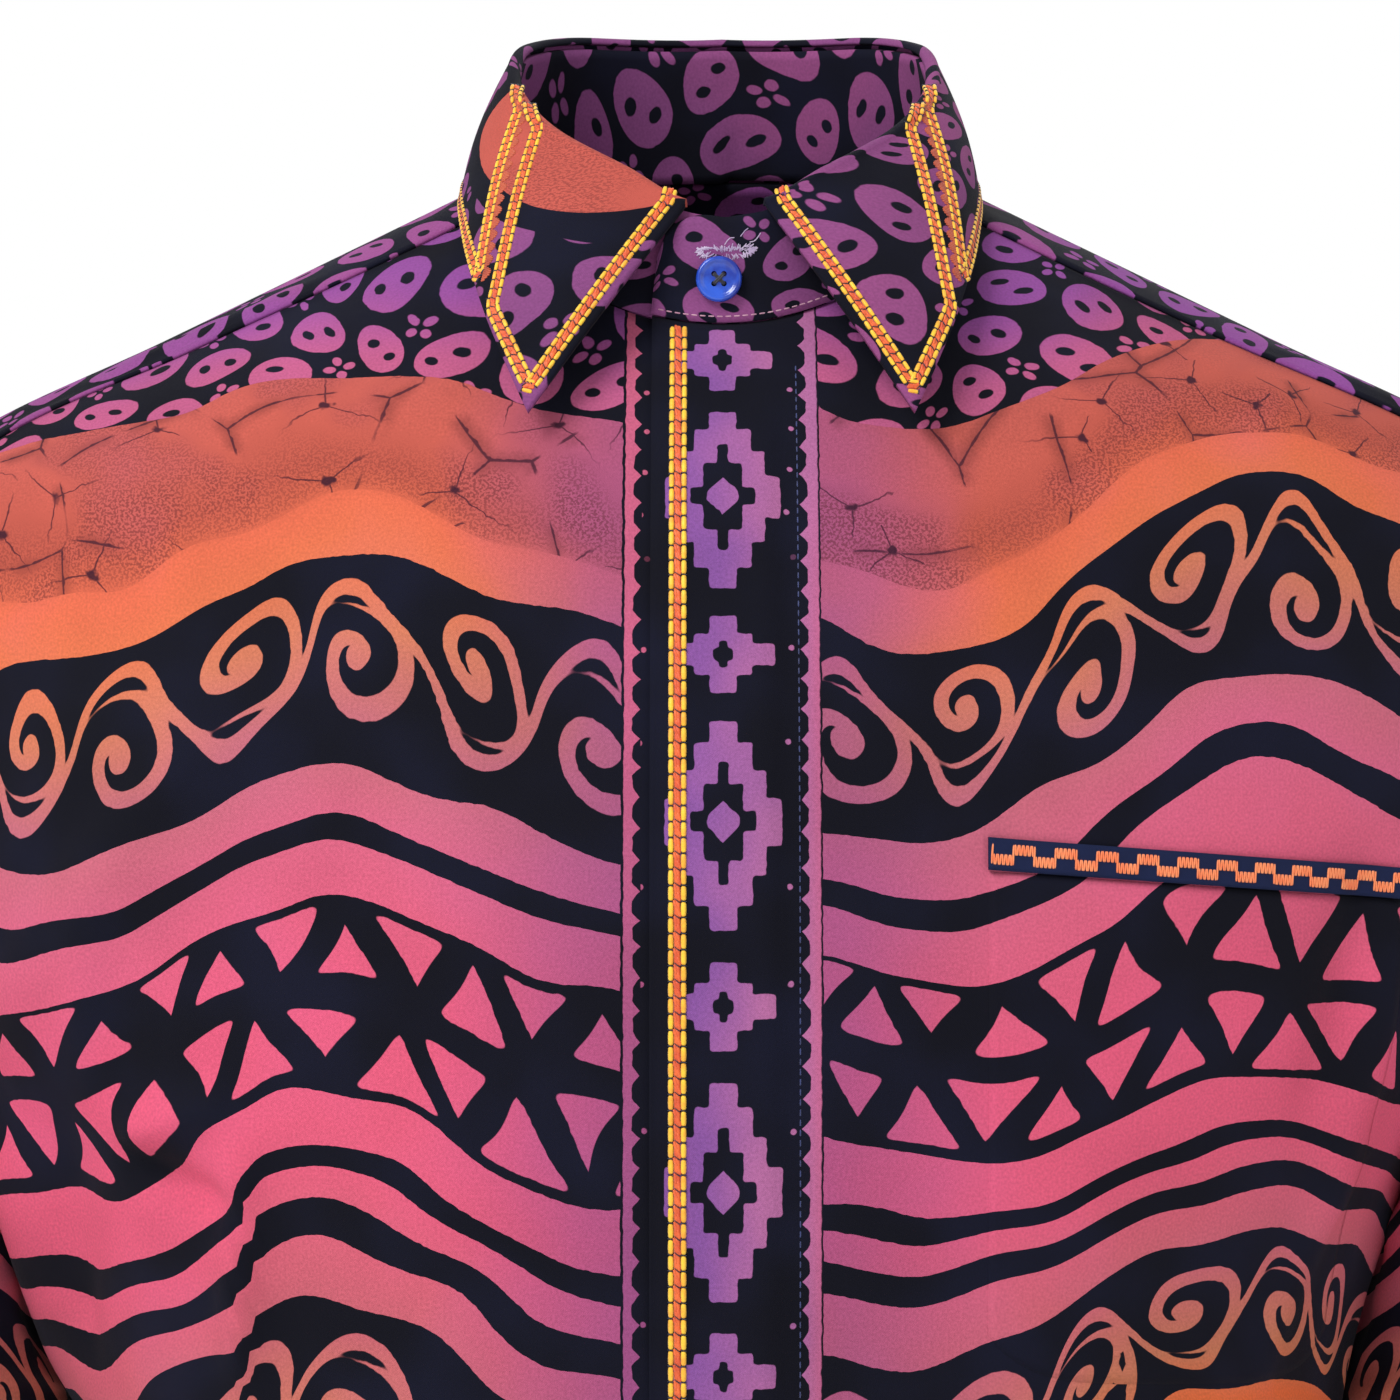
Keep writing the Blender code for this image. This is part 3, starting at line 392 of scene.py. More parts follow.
class Torso:
    """The body's surface, read by a turn round it from the centre front and a height."""

    def size(self, x: Amount, y: Amount, z: Array) -> tuple[Array, Array, Array]:
        """The half width and half depth on the side of x and of y from the middle, and the outline's power."""
        half = np.where(x > 0, BODY.at("left", z), BODY.at("right", z))
        return half, np.where(y < 0, BODY.at("front", z), BODY.at("back", z)), BODY.at("square", z)

    def plain(self, turn: Array, z: Array) -> Array:
        """Points of the surface without folds.

        Args:
            turn: The turn round the body.
            z: The height.

        Returns:
            The points.
        """
        s, c = np.sin(turn), np.cos(turn)
        half, depth, p = self.size(s, -c, z)
        reach = (np.abs(s) ** p + np.abs(c) ** p) ** (-1 / p)
        return stack(half * s * reach, MID_Y - depth * c * reach, z)

    def normal(self, turn: Array, z: Array) -> Array:
        """The directions out of the plain surface.

        Args:
            turn: The turn round the body.
            z: The height.

        Returns:
            Directions of length one.
        """
        step = 0.004
        across = self.plain(turn + step, z) - self.plain(turn - step, z)
        up = self.plain(turn, z + step) - self.plain(turn, z - step)
        return unit(np.cross(across, up))

    def fold(self, turn: Array, z: Array, fine: bool = True) -> Array:
        """How far folds, creases and the hem's waves stand off the plain surface.

        Args:
            turn: The turn round the body.
            z: The height.
            fine: Whether the finer creases count.

        Returns:
            The distances.
        """
        turn = near_turn(turn, 0.0)
        total = folds_at(BODY_FOLDS, turn, z, FOLD_RADIUS, 1.0, True)
        calm = smooth(np.abs(turn), *HEM_CALM_TURN)
        deep = smooth(-z, -HEM_WAVE_TOP_Z, -HEM_Z)
        total += HEM_WAVE * deep * calm * np.cos(HEM_WAVES * turn + 0.9 * np.sin(2 * turn + 0.7))
        if fine:
            total += folds_at(BODY_CREASES, turn, z, FOLD_RADIUS, 1.0, True)
            low = smooth(-z, 0.16, 0.40)
            wave = np.sin(11 * turn + 26 * z + 1.3) * np.sin(5 * turn - 31 * z)
            total += FINE_WAVE * calm * (0.3 + low) * wave
        return total

    def point(self, turn: Array, z: Array, lift: Amount = 0.0) -> Array:
        """Points on the shirt's outside, moved out by lift."""
        out = self.fold(turn, z) + lift
        return self.plain(turn, z) + self.normal(turn, z) * out[..., None]

    def above(self, x: Array, y: Array) -> Spots:
        """The turn and height of the shoulder surface at places in plan.

        Args:
            x: The distance to the wearer's left.
            y: The distance to the back.

        Returns:
            The turns and heights.
        """
        low, high = np.full(np.shape(x), -0.25), np.full(np.shape(x), 0.030)
        for _ in range(HEIGHT_HALVINGS):
            z = (low + high) / 2
            half, depth, p = self.size(x, y - MID_Y, z)
            outside = (np.abs(x) / half) ** p + (np.abs(y - MID_Y) / depth) ** p > 1
            low, high = np.where(outside, low, z), np.where(outside, z, high)
        return np.arctan2(x / half, (MID_Y - y) / depth), z

    def turn_at(self, x: Array, z: Array) -> Array:
        """The turn on the front where the body has a given x at height z.

        Args:
            x: The distance to the wearer's left.
            z: The height.

        Returns:
            The turns.
        """
        half, _, p = self.size(x, 0, z)
        share = np.minimum(np.abs(x) / half, 0.999)
        return np.copysign(np.arctan((share**p / (1 - share**p)) ** (1 / p)), x)


TORSO = Torso()


# ---- The lines where panels meet ----


def neck_place(angle: Array) -> Spots:
    """The neck seam at an angle round the neck from the centre front."""
    return TORSO.above(NECK_HALF_WIDTH * np.sin(angle), NECK_MID_Y - NECK_HALF_DEPTH * np.cos(angle))


def armhole_place(angle: Array, face: Amount) -> Spots:
    """The armhole: angle 0 is the underarm and pi the shoulder's tip; face is -1 in front and 1 behind."""
    return math.pi / 2 + face * ARMHOLE_HOLLOW * np.sin(angle), ARMHOLE_MID_Z - ARMHOLE_HALF * np.cos(angle)


def back_corner() -> float:
    """The armhole's angle where the back meets the yoke."""
    return math.acos((ARMHOLE_MID_Z - BACK_SEAM_Z) / ARMHOLE_HALF)


def hem_z(turn: Array) -> Array:
    """The hem's height, a little higher at the sides."""
    return HEM_Z + HEM_RISE * np.sin(turn) ** 2


def between(a: tuple, b: tuple, f: Array) -> Spots:
    """The places a fraction f of the way between two lists of places."""
    return mix(a[0], b[0], f), mix(a[1], b[1], f)


def patch(bottom: Callable, top: Callable, start: Callable, end: Callable, u: Array, v: Array) -> tuple:
    """Places inside four border lines, blended from all of them.

    Args:
        bottom: The lower line's places, by u.
        top: The upper line's, by u.
        start: The first side's, by v.
        end: The last side's, by v.
        u: From 0 to 1 across.
        v: From 0 to 1 up.

    Returns:
        The places.
    """
    zero, one = np.zeros_like(u), np.ones_like(u)
    across = between(bottom(u), top(u), v)
    along = between(start(v), end(v), u)
    low = between(bottom(zero), bottom(one), u)
    high = between(top(zero), top(one), u)
    corners = between(low, high, v)
    return across[0] + along[0] - corners[0], across[1] + along[1] - corners[1]


def lap_lift(x: Array, z: Array) -> Array:
    """How far the left front stands off the right one.

    Args:
        x: The distance to the wearer's left.
        z: The height.

    Returns:
        The distances.
    """
    near = CLOTH + REST
    deep = near + FLY_BUTTON_THICK + FLY_LIFT_EXTRA
    over = 1 - smooth(np.abs(x), *FLY_LIFT_HALF_WIDTH)
    below = smooth(-z, -FLY_LIFT_TOP[0], -FLY_LIFT_TOP[1])
    return mix(near, deep, over * below) * (1 - smooth(x, *LAP_FADE))


# ---- Where each place lies on the cloth, so that the print keeps its size ----


def look_up(values: Array, xs: Array, ys: Array, x: Array, y: Array) -> Array:
    """Values between the points of a regular grid.

    Args:
        values: The grid, with a row for each of ys and a column for each of xs.
        xs: The columns' places, evenly spaced.
        ys: The rows' places, evenly spaced.
        x: Places to read.
        y: Places to read.

    Returns:
        The value at each place.
    """
    i = np.clip((x - xs[0]) / (xs[1] - xs[0]), 0, len(xs) - 1.001)
    j = np.clip((y - ys[0]) / (ys[1] - ys[0]), 0, len(ys) - 1.001)
    i0, j0 = i.astype(int), j.astype(int)
    low = mix(values[j0, i0], values[j0, i0 + 1], i - i0)
    high = mix(values[j0 + 1, i0], values[j0 + 1, i0 + 1], i - i0)
    return mix(low, high, j - j0)


def tucked(turn: Array, z: Array) -> Array:
    """How much further along its cloth a place lies, because the folds above it take cloth in.

    Args:
        turn: The turn round the body.
        z: The height.

    Returns:
        The lengths.
    """
    total = np.zeros(np.broadcast(turn, z).shape)
    turn = near_turn(turn, 0.0)
    for turn_a, z_a, turn_b, z_b, hidden in TUCKS:
        a, b = math.radians(turn_a) * FOLD_RADIUS, math.radians(turn_b) * FOLD_RADIUS
        run, drop = b - a, z_b - z_a
        f = ((turn * FOLD_RADIUS - a) * run + (z - z_a) * drop) / (run * run + drop * drop)
        off = np.abs(turn * FOLD_RADIUS) - np.abs(a + run * f)
        held = smooth(f, -0.1, 0.35) * (1 - smooth(f, 0.75, 1.3))
        total += math.copysign(hidden, turn_a) * smooth(off, -0.0010, 0.0010) * held
    return total


class BodyCloth:
    """The body's cloth laid flat: s runs from the centre front or back, and v up the cloth."""

    def __init__(self) -> None:
        """Measure the plain surface once."""
        self.turns = np.linspace(-math.pi, TURN, 1081)
        self.heights = np.linspace(-0.80, 0.030, 167)
        points = TORSO.plain(self.turns[None, :], self.heights[:, None])
        steps = np.linalg.norm(np.diff(points, axis=1), axis=-1)
        run = np.concatenate([np.zeros((len(self.heights), 1)), np.cumsum(steps, axis=1)], axis=1)
        self.run = run - run[:, [360]]
        self.xs = np.linspace(0, 0.26, 66)
        self.zs = np.linspace(-0.20, 0.030, 116)
        self.rises = {"front": self.rise("front"), "back": self.rise("back")}

    def rise(self, face: str) -> Array:
        """How much longer the cloth is than its height, up the front or the back, by x and z.

        Args:
            face: Which face of the body.

        Returns:
            The lengths, with a row for each height.
        """
        half = BODY.at("right", self.zs)[:, None]
        depth = BODY.at(face, self.zs)[:, None]
        p = BODY.at("square", self.zs)[:, None]
        inside = np.clip(1 - (self.xs[None, :] / half) ** p, 1e-4, 1)
        slope = np.clip(np.gradient(depth * inside ** (1 / p), self.zs, axis=0), -1.3, 1.3)
        extra = np.sqrt(1 + slope**2) - 1
        return np.cumsum(extra, axis=0) * (self.zs[1] - self.zs[0])

    def flat(self, turn: Array, z: Array, back: bool = False) -> Array:
        """Where places on the body lie on the cloth.

        Args:
            turn: The turn round the body.
            z: The height.
            back: Whether they are on the back.

        Returns:
            The cloth's coordinates.
        """
        s = look_up(self.run, self.turns, self.heights, turn, z)
        if back:
            s = s - look_up(self.run, self.turns, self.heights, np.full_like(turn, math.pi), z)
        else:
            s = s + tucked(turn, z)
        x = np.abs(TORSO.plain(turn, z)[..., 0])
        rise = look_up(self.rises["back" if back else "front"], self.xs, self.zs, x, z)
        return np.stack([s, z + rise], axis=-1)


CLOTH_MAP = BodyCloth()


def grid_lengths(points: Array, rows: Array, columns: Array) -> Array:
    """Where the points of a grid lie on its cloth: along each row from its middle, and up each column.

    Args:
        points: The grid's points in any order.
        rows: Each point's row.
        columns: Each point's column.

    Returns:
        Two lengths for each point.
    """
    shape = (rows.max() + 1, columns.max() + 1)
    net = np.zeros((*shape, 3))
    net[rows, columns] = points
    across = np.zeros(shape)
    across[:, 1:] = np.cumsum(np.linalg.norm(np.diff(net, axis=1), axis=-1), axis=1)
    across -= across[:, [shape[1] // 2]]
    up = np.zeros(shape)
    up[1:] = np.cumsum(np.linalg.norm(np.diff(net, axis=0), axis=-1), axis=0)
    up[:] = up.mean(axis=1, keepdims=True)
    return np.stack([across[rows, columns], up[rows, columns]], axis=-1)


def settle(cloth: Array, net: Array, rounds: int) -> Array:
    """Move a grid's flat places until neighbours lie as far apart as on the shaped grid.

    Args:
        cloth: A first guess of the flat places.
        net: The grid's points in space.
        rounds: How often all places move.

    Returns:
        The flat places.
    """
    all_but_last, all_but_first = slice(None, -1), slice(1, None)
    full = slice(None)
    pairs = (
        ((all_but_last, full), (all_but_first, full)),
        ((full, all_but_last), (full, all_but_first)),
        ((all_but_last, all_but_last), (all_but_first, all_but_first)),
        ((all_but_last, all_but_first), (all_but_first, all_but_last)),
    )
    lengths = [np.linalg.norm(net[b] - net[a], axis=-1) for a, b in pairs]
    for _ in range(rounds):
        move = np.zeros_like(cloth)
        for (a, b), length in zip(pairs, lengths):
            gap = cloth[b] - cloth[a]
            push = gap * (0.11 * (1 - length / np.linalg.norm(gap, axis=-1)))[..., None]
            move[a] += push
            move[b] -= push
        cloth = cloth + move
    return cloth


# ---- Making pieces ----


def finish_piece(piece: Thing, nodes: Sequence[str], slot: str) -> None:
    """Let a piece ride on the shirt, stand for its solids and log its faces with its slot.

    Args:
        piece: The piece.
        nodes: The solids' nodes.
        slot: The record's material slot.
    """
    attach(piece, "root")
    if nodes:
        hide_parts(*nodes)
    LOG.info("%s: %d faces, %s", piece.name, len(piece.data.polygons), slot)


def put(
    name: str, data: object, place: Sequence[float] = (0, 0, 0), turn: Sequence[float] = (0, 0, 0)
) -> Thing:
    """Add an object to the scene at a place.

    Args:
        name: The name.
        data: What it shows.
        place: Where it stands.
        turn: How it is turned.

    Returns:
        The object.
    """
    item = bpy.data.objects.new(name, data)
    item.location, item.rotation_euler = place, turn
    bpy.context.scene.collection.objects.link(item)
    return item


def new_object(name: str, maker: bmesh.types.BMesh, material: Material) -> Thing:
    """Turn a filled bmesh into an object with smooth faces.

    Args:
        name: The name.
        maker: The mesh, which is freed.
        material: The finish.

    Returns:
        The object.
    """
    mesh = bpy.data.meshes.new(name)
    maker.to_mesh(mesh)
    maker.free()
    mesh.materials.append(material)
    mesh.shade_smooth()
    return put(name, mesh)


@dataclass
class Panel:
    """One panel of cloth: a grid laid on a surface, with the cloth's own coordinates and a wall."""

    node: str
    slot: str
    columns: int
    rows: int
    side: int = 1
    wall: float = CLOTH
    flip: bool = False
    closed: bool = False

    def outside(self, u: Array, v: Array) -> Array:
        """The outer face's points, for u and v from 0 to 1."""
        raise NotImplementedError

    def flat(self, u: Array, v: Array, points: Array, rows: Array, columns: Array) -> Array:
        """The cloth's own coordinates, here by the lengths of the grid."""
        return grid_lengths(points, rows, columns)

    def build(self, material: Material) -> None:
        """Make the panel and measure the size that its cloth is cut to.

        Args:
            material: The finish.
        """
        maker = bmesh.new()
        bmesh.ops.create_grid(maker, x_segments=self.columns, y_segments=self.rows, size=1.0)
        corners = np.array([vert.co[:2] for vert in maker.verts])
        columns = np.rint((corners[:, 0] + 1) / 2 * self.columns).astype(int)
        rows = np.rint((corners[:, 1] + 1) / 2 * self.rows).astype(int)
        u, v = columns / self.columns, rows / self.rows
        points = self.outside(u, v)
        cloth = self.flat(u, v, points, rows, columns)
        for vert, co in zip(maker.verts, points):
            vert.co = co
        layer = maker.loops.layers.uv.new("cloth")
        for face in maker.faces:
            for loop in face.loops:
                loop[layer].uv = cloth[loop.vert.index]
        if self.closed:
            bmesh.ops.remove_doubles(maker, verts=maker.verts[:], dist=1e-6)
        if self.flip:
            bmesh.ops.reverse_faces(maker, faces=maker.faces[:])
        self.piece = new_object(self.node + "_cloth", maker, material)
        wall = self.piece.modifiers.new("wall", "SOLIDIFY")
        wall.thickness, wall.offset, wall.use_even_offset = self.wall, -1, False
        finish_piece(self.piece, (self.node,), self.slot)
        net = np.zeros((self.rows + 1, self.columns + 1, 2))
        net[rows, columns] = cloth
        a, b = net[1:, 1:] - net[:-1, :-1], net[1:, :-1] - net[:-1, 1:]
        self.area = round(float(np.abs(a[..., 0] * b[..., 1] - a[..., 1] * b[..., 0]).sum() / 2), 4)
        self.size = tuple(round(float(length), 3) for length in np.ptp(cloth, axis=0))

    def declare(self, held: str, rests_on: Sequence[str], trims: Sequence[Thing] = ()) -> None:
        """Log the size and the area that the panel's cloth is cut to."""
        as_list(trims)
        LOG.info("%s: cut %.3f x %.3f m, %.4f m2", self.piece.name, *self.size, self.area)


# ---- Colours and materials ----


def linear(red: float, green: float, blue: float) -> tuple[float, float, float, float]:
    """A colour from its screen values, 0 to 255."""
    out = [c / 255 / 12.92 if c <= 10.31 else ((c / 255 + 0.055) / 1.055) ** 2.4 for c in (red, green, blue)]
    return (out[0], out[1], out[2], 1.0)


NAVY = linear(15, 15, 27)
NAVY_BLUE = linear(22, 24, 46)
PURPLE = linear(150, 80, 158)
DUSTY_PURPLE = linear(140, 76, 132)
MAUVE = linear(162, 82, 134)
ROSE = linear(205, 98, 132)
CORAL = linear(206, 96, 84)
CRACK_DYE = linear(52, 24, 44)
DARK_DYE = linear(84, 36, 40)


def by_node(operation: str, swapped: bool = False) -> Callable:
    """A method of Num that adds a Math node.

    Args:
        operation: The node's operation.
        swapped: Whether the other number comes first.

    Returns:
        The method.
    """

    def method(self: Num, *others: Num | float) -> Num:
        """The Math node's result."""
        return self.tree.math(operation, *((*others, self) if swapped else (self, *others)))

    return method


class Num:
    """A number that varies over a surface. soft_least and soft_most round the corner by a given length."""

    __add__ = __radd__ = by_node("ADD")
    __sub__, __rsub__ = by_node("SUBTRACT"), by_node("SUBTRACT", swapped=True)
    __mul__ = __rmul__ = by_node("MULTIPLY")
    __truediv__, __abs__ = by_node("DIVIDE"), by_node("ABSOLUTE")
    least, most = by_node("MINIMUM"), by_node("MAXIMUM")
    soft_least, soft_most = by_node("SMOOTH_MIN"), by_node("SMOOTH_MAX")
    part, whole = by_node("FRACT"), by_node("FLOOR")
    sine, root = by_node("SINE"), by_node("SQRT")

    def __init__(self, tree: Tree, socket: Socket) -> None:
        """Wrap a socket."""
        self.tree, self.socket = tree, socket

    def step(self, low: float, high: float) -> Num:
        """0 before low and 1 past high, softly; high may be the lower one.

        Args:
            low: Where it starts.
            high: Where it ends.

        Returns:
            The step.
        """
        if low > high:
            return 1 - self.step(high, low)
        settings = {"interpolation_type": "SMOOTHSTEP"}
        sockets = {"Value": self, "From Min": low, "From Max": high}
        return Num(self.tree, self.tree.add("ShaderNodeMapRange", settings, sockets).outputs["Result"])

    def inside(self, edge: float = 0.00012) -> Num:
        """1 where this is below zero, with a fine soft edge."""
        return self.step(edge, -edge)


def length(x: Num, y: Num) -> Num:
    """How long a flat step is."""
    return (x * x + y * y).root()


class Tree:
    """A material's nodes, added one at a time or by arithmetic."""

    def __init__(self, name: str) -> None:
        """Start a material with its shader.

        Args:
            name: The name.
        """
        self.material = bpy.data.materials.new(name)
        self.material.use_nodes = True
        self.tree = self.material.node_tree
        self.shader = self.tree.nodes["Principled BSDF"]

    def link(self, value: object, socket: Socket) -> None:
        """Give a socket a value, or link it to a number or another socket.

        Args:
            value: The value or its source.
            socket: Where it goes.
        """
        if isinstance(value, Num):
            value = value.socket
        if isinstance(value, Socket):
            self.tree.links.new(value, socket)
        else:
            socket.default_value = value

    def add(self, kind: str, settings: dict, sockets: dict) -> bpy.types.Node:
        """Add a node.

        Args:
            kind: The node's type.
            settings: Its properties, set first, or a colour ramp's stops and how they spread.
            sockets: Values or links by the input's name or number.

        Returns:
            The node.
        """
        node = self.tree.nodes.new(kind)
        for name, value in settings.items():
            if name == "stops":
                self.fill_ramp(node.color_ramp, value)
            elif name == "spread":
                node.color_ramp.interpolation = value
            else:
                setattr(node, name, value)
        for name, value in sockets.items():
            self.link(value, node.inputs[name])
        return node

    def fill_ramp(self, ramp: bpy.types.ColorRamp, stops: Sequence[tuple]) -> None:
        """Set a colour ramp's stops.

        Args:
            ramp: The ramp.
            stops: A place and a colour for each.
        """
        while len(ramp.elements) < len(stops):
            ramp.elements.new(1.0)
        for element, stop in zip(ramp.elements, stops):
            element.position, element.color = stop

    def math(self, operation: str, *values: Num | float) -> Num:
        """The result of a Math node."""
        node = self.add("ShaderNodeMath", {"operation": operation}, dict(enumerate(values)))
        return Num(self, node.outputs[0])

    def mixed(self, factor: Num, a: object, b: object) -> Socket:
        """A colour between two by a factor."""
        return self.add("ShaderNodeMix", {"data_type": "RGBA"}, {0: factor, 6: a, 7: b}).outputs[2]

    def vector(self, x: Num | float, y: Num | float) -> Socket:
        """A flat vector from two numbers."""
        return self.add("ShaderNodeCombineXYZ", {}, {0: x, 1: y}).outputs[0]

    def parts(self, value: Socket, kind: str = "XYZ") -> list[Num]:
        """The three numbers in a vector, or in a colour with the kind Color."""
        return [Num(self, part) for part in self.add("ShaderNodeSeparate" + kind, {}, {0: value}).outputs[:3]]

    def place(self) -> Socket:
        """The piece's own coordinates in space."""
        return self.add("ShaderNodeTexCoord", {}, {}).outputs["Object"]

    def uv(self) -> Socket:
        """The cloth's coordinates."""
        return self.add("ShaderNodeUVMap", {"uv_map": "cloth"}, {}).outputs[0]

    def blend(self, factor: Num, a: Socket, b: Socket) -> Socket:
        """A shader between two by a factor."""
        return self.add("ShaderNodeMixShader", {}, {0: factor, 1: a, 2: b}).outputs[0]

    def noises(self, place: Socket, scale: float, detail: float, dimensions: str = "2D") -> bpy.types.Node:
        """A noise node with about `scale` humps to a metre."""
        sockets = {"Vector": place, "Scale": scale, "Detail": detail}
        return self.add("ShaderNodeTexNoise", {"noise_dimensions": dimensions}, sockets)

    def noise(self, place: Socket, scale: float, detail: float, dimensions: str = "2D") -> Num:
        """An even noise about a half."""
        return Num(self, self.noises(place, scale, detail, dimensions).outputs[0])

    def noise_pair(self, place: Socket, scale: float, detail: float) -> list[Num]:
        """Two unlike noises about a half over a flat place."""
        return self.parts(self.noises(place, scale, detail).outputs["Color"], "Color")[:2]

    def chance(self, count: Num) -> Num:
        """An odd number from -0.5 to 0.5 for each count."""
        noise = self.add("ShaderNodeTexWhiteNoise", {"noise_dimensions": "1D"}, {"W": count})
        return Num(self, noise.outputs[0]) - 0.5

    def cells(self, place: Socket, scale: float, feature: str) -> bpy.types.NodeOutputs:
        """A flat cell pattern's outputs, with about `scale` cells to a metre."""
        settings = {"voronoi_dimensions": "2D", "feature": feature}
        return self.add("ShaderNodeTexVoronoi", settings, {"Vector": place, "Scale": scale}).outputs

    def bump(self, height: Num, distance: float, strength: float) -> Socket:
        """The normals of a fine relief."""
        sockets = {"Height": height, "Distance": distance, "Strength": strength}
        return self.add("ShaderNodeBump", {}, sockets).outputs[0]

    def finish(self, **sockets: object) -> Material:
        """Fill the shader's sockets, with _ for a space in their names, and give the material.

        Args:
            sockets: Values or sources by socket.

        Returns:
            The material.
        """
        for name, value in sockets.items():
            self.link(value, self.shader.inputs[name.replace("_", " ")])
        return self.material


class Cloth:
    """What all layouts share on a piece: the cloth's coordinates, its grain and its weave."""

    def __init__(self, tree: Tree, uv: Socket) -> None:
        """Add the shared nodes.

        Args:
            tree: The finish's nodes.
            uv: The cloth's coordinates.
        """
        s, v, _ = tree.parts(uv)
        self.tree, self.uv, self.s0, self.v0 = tree, uv, s, v
        soft_a, soft_b = tree.noise_pair(uv, 30.0, 0.0)
        self.ragged = tree.noise(uv, 360.0, 1.0) - 0.5
        self.s = s + (soft_a - 0.5) * 0.0100 + self.ragged * 0.00045
        self.v = v + (soft_b - 0.5) * 0.0090 + self.ragged * 0.00045
        self.grain = tree.noise(uv, 1300.0, 1.0)
        self.cloud = tree.noise(uv, 22.0, 2.0)
        self.tone = 0.85 + (self.grain - 0.5) * 0.34 + (self.cloud - 0.5) * 0.30
        self.navy = tree.mixed(self.cloud.step(0.35, 0.75) * 0.6, NAVY, NAVY_BLUE)
        self.rough = 0.80 + (self.grain - 0.5) * 0.2
        thread = TURN / 0.00045
        weave = (s * thread).sine() * (v * thread).sine()
        slub = tree.noise(uv, 110.0, 1.0)
        self.normal = tree.bump(weave * 0.25 + slub * 2.4, 0.00025, 0.5)

    def shade(self, dyed: Num | float, hue: object) -> Socket:
        """The cloth's shader, navy but for what is dyed in a hue.

        Args:
            dyed: 1 where dyed.
            hue: The dye's colour.

        Returns:
            The shader.
        """
        tree = self.tree
        colour = tree.mixed(dyed, self.navy, hue)
        toned = tree.add("ShaderNodeVectorMath", {"operation": "SCALE"}, {0: colour, "Scale": self.tone})
        sockets = {
            "Base Color": toned.outputs[0], "Roughness": self.rough, "Normal": self.normal,
            "Sheen Weight": 0.02, "Sheen Roughness": 0.5, "Specular IOR Level": 0.10,
        }
        return tree.add("ShaderNodeBsdfPrincipled", {}, sockets).outputs[0]


class Layout(Enum):
    """How the print lies on a piece."""

    BANDS = "wavy bands"
    LEFT_FRONT = "wavy bands with the placket's lozenges"
    RIGHT_FRONT = "wavy bands with a scalloped strip"
    OVALS = "ovals on navy"
    COLLAR = "ovals on navy with a coral swath"


class Fill(Enum):
    """What fills a band: a ramp's red for dye, green for scrolls, blue for triangles, no alpha for cracks."""

    NAVY = (0.0, 0.0, 0.0, 1.0)
    DYED = (1.0, 0.0, 0.0, 1.0)
    CRACKED = (1.0, 0.0, 0.0, 0.0)
    SCROLL = (0.0, 1.0, 0.0, 1.0)
    TRIANGLES = (0.0, 0.0, 1.0, 1.0)


# One run of the wavy bands from the top down: the depth in millimetres where each starts, and its fill.
BAND_RUN = 0.420
BANDS = (
    (0, Fill.CRACKED), (49, Fill.DYED), (64, Fill.SCROLL), (112, Fill.DYED),
    (127, Fill.NAVY), (135, Fill.DYED), (151, Fill.TRIANGLES), (205, Fill.DYED),
    (221, Fill.NAVY), (228, Fill.DYED), (236, Fill.NAVY), (243, Fill.DYED),
    (257, Fill.SCROLL), (305, Fill.DYED), (318, Fill.CRACKED), (364, Fill.SCROLL),
    (408, Fill.DYED), (414, Fill.NAVY),
)
BAND_COLOURS = (
    (0, linear(204, 97, 88)), (40, linear(208, 97, 79)),
    (52, linear(232, 112, 81)), (66, linear(228, 118, 79)),
    (84, linear(214, 125, 96)), (104, linear(198, 109, 122)),
    (128, linear(216, 102, 131)), (178, linear(234, 95, 129)),
    (228, linear(230, 96, 126)), (262, linear(208, 104, 117)),
    (292, linear(204, 123, 93)), (310, linear(238, 113, 64)),
    (364, linear(220, 103, 79)), (388, linear(200, 104, 120)),
    (420, linear(204, 97, 88)),
)
SCROLLS = ((0.064, 0.112), (0.257, 0.305), (0.364, 0.408))
TRIANGLE_BAND = (0.151, 0.205)


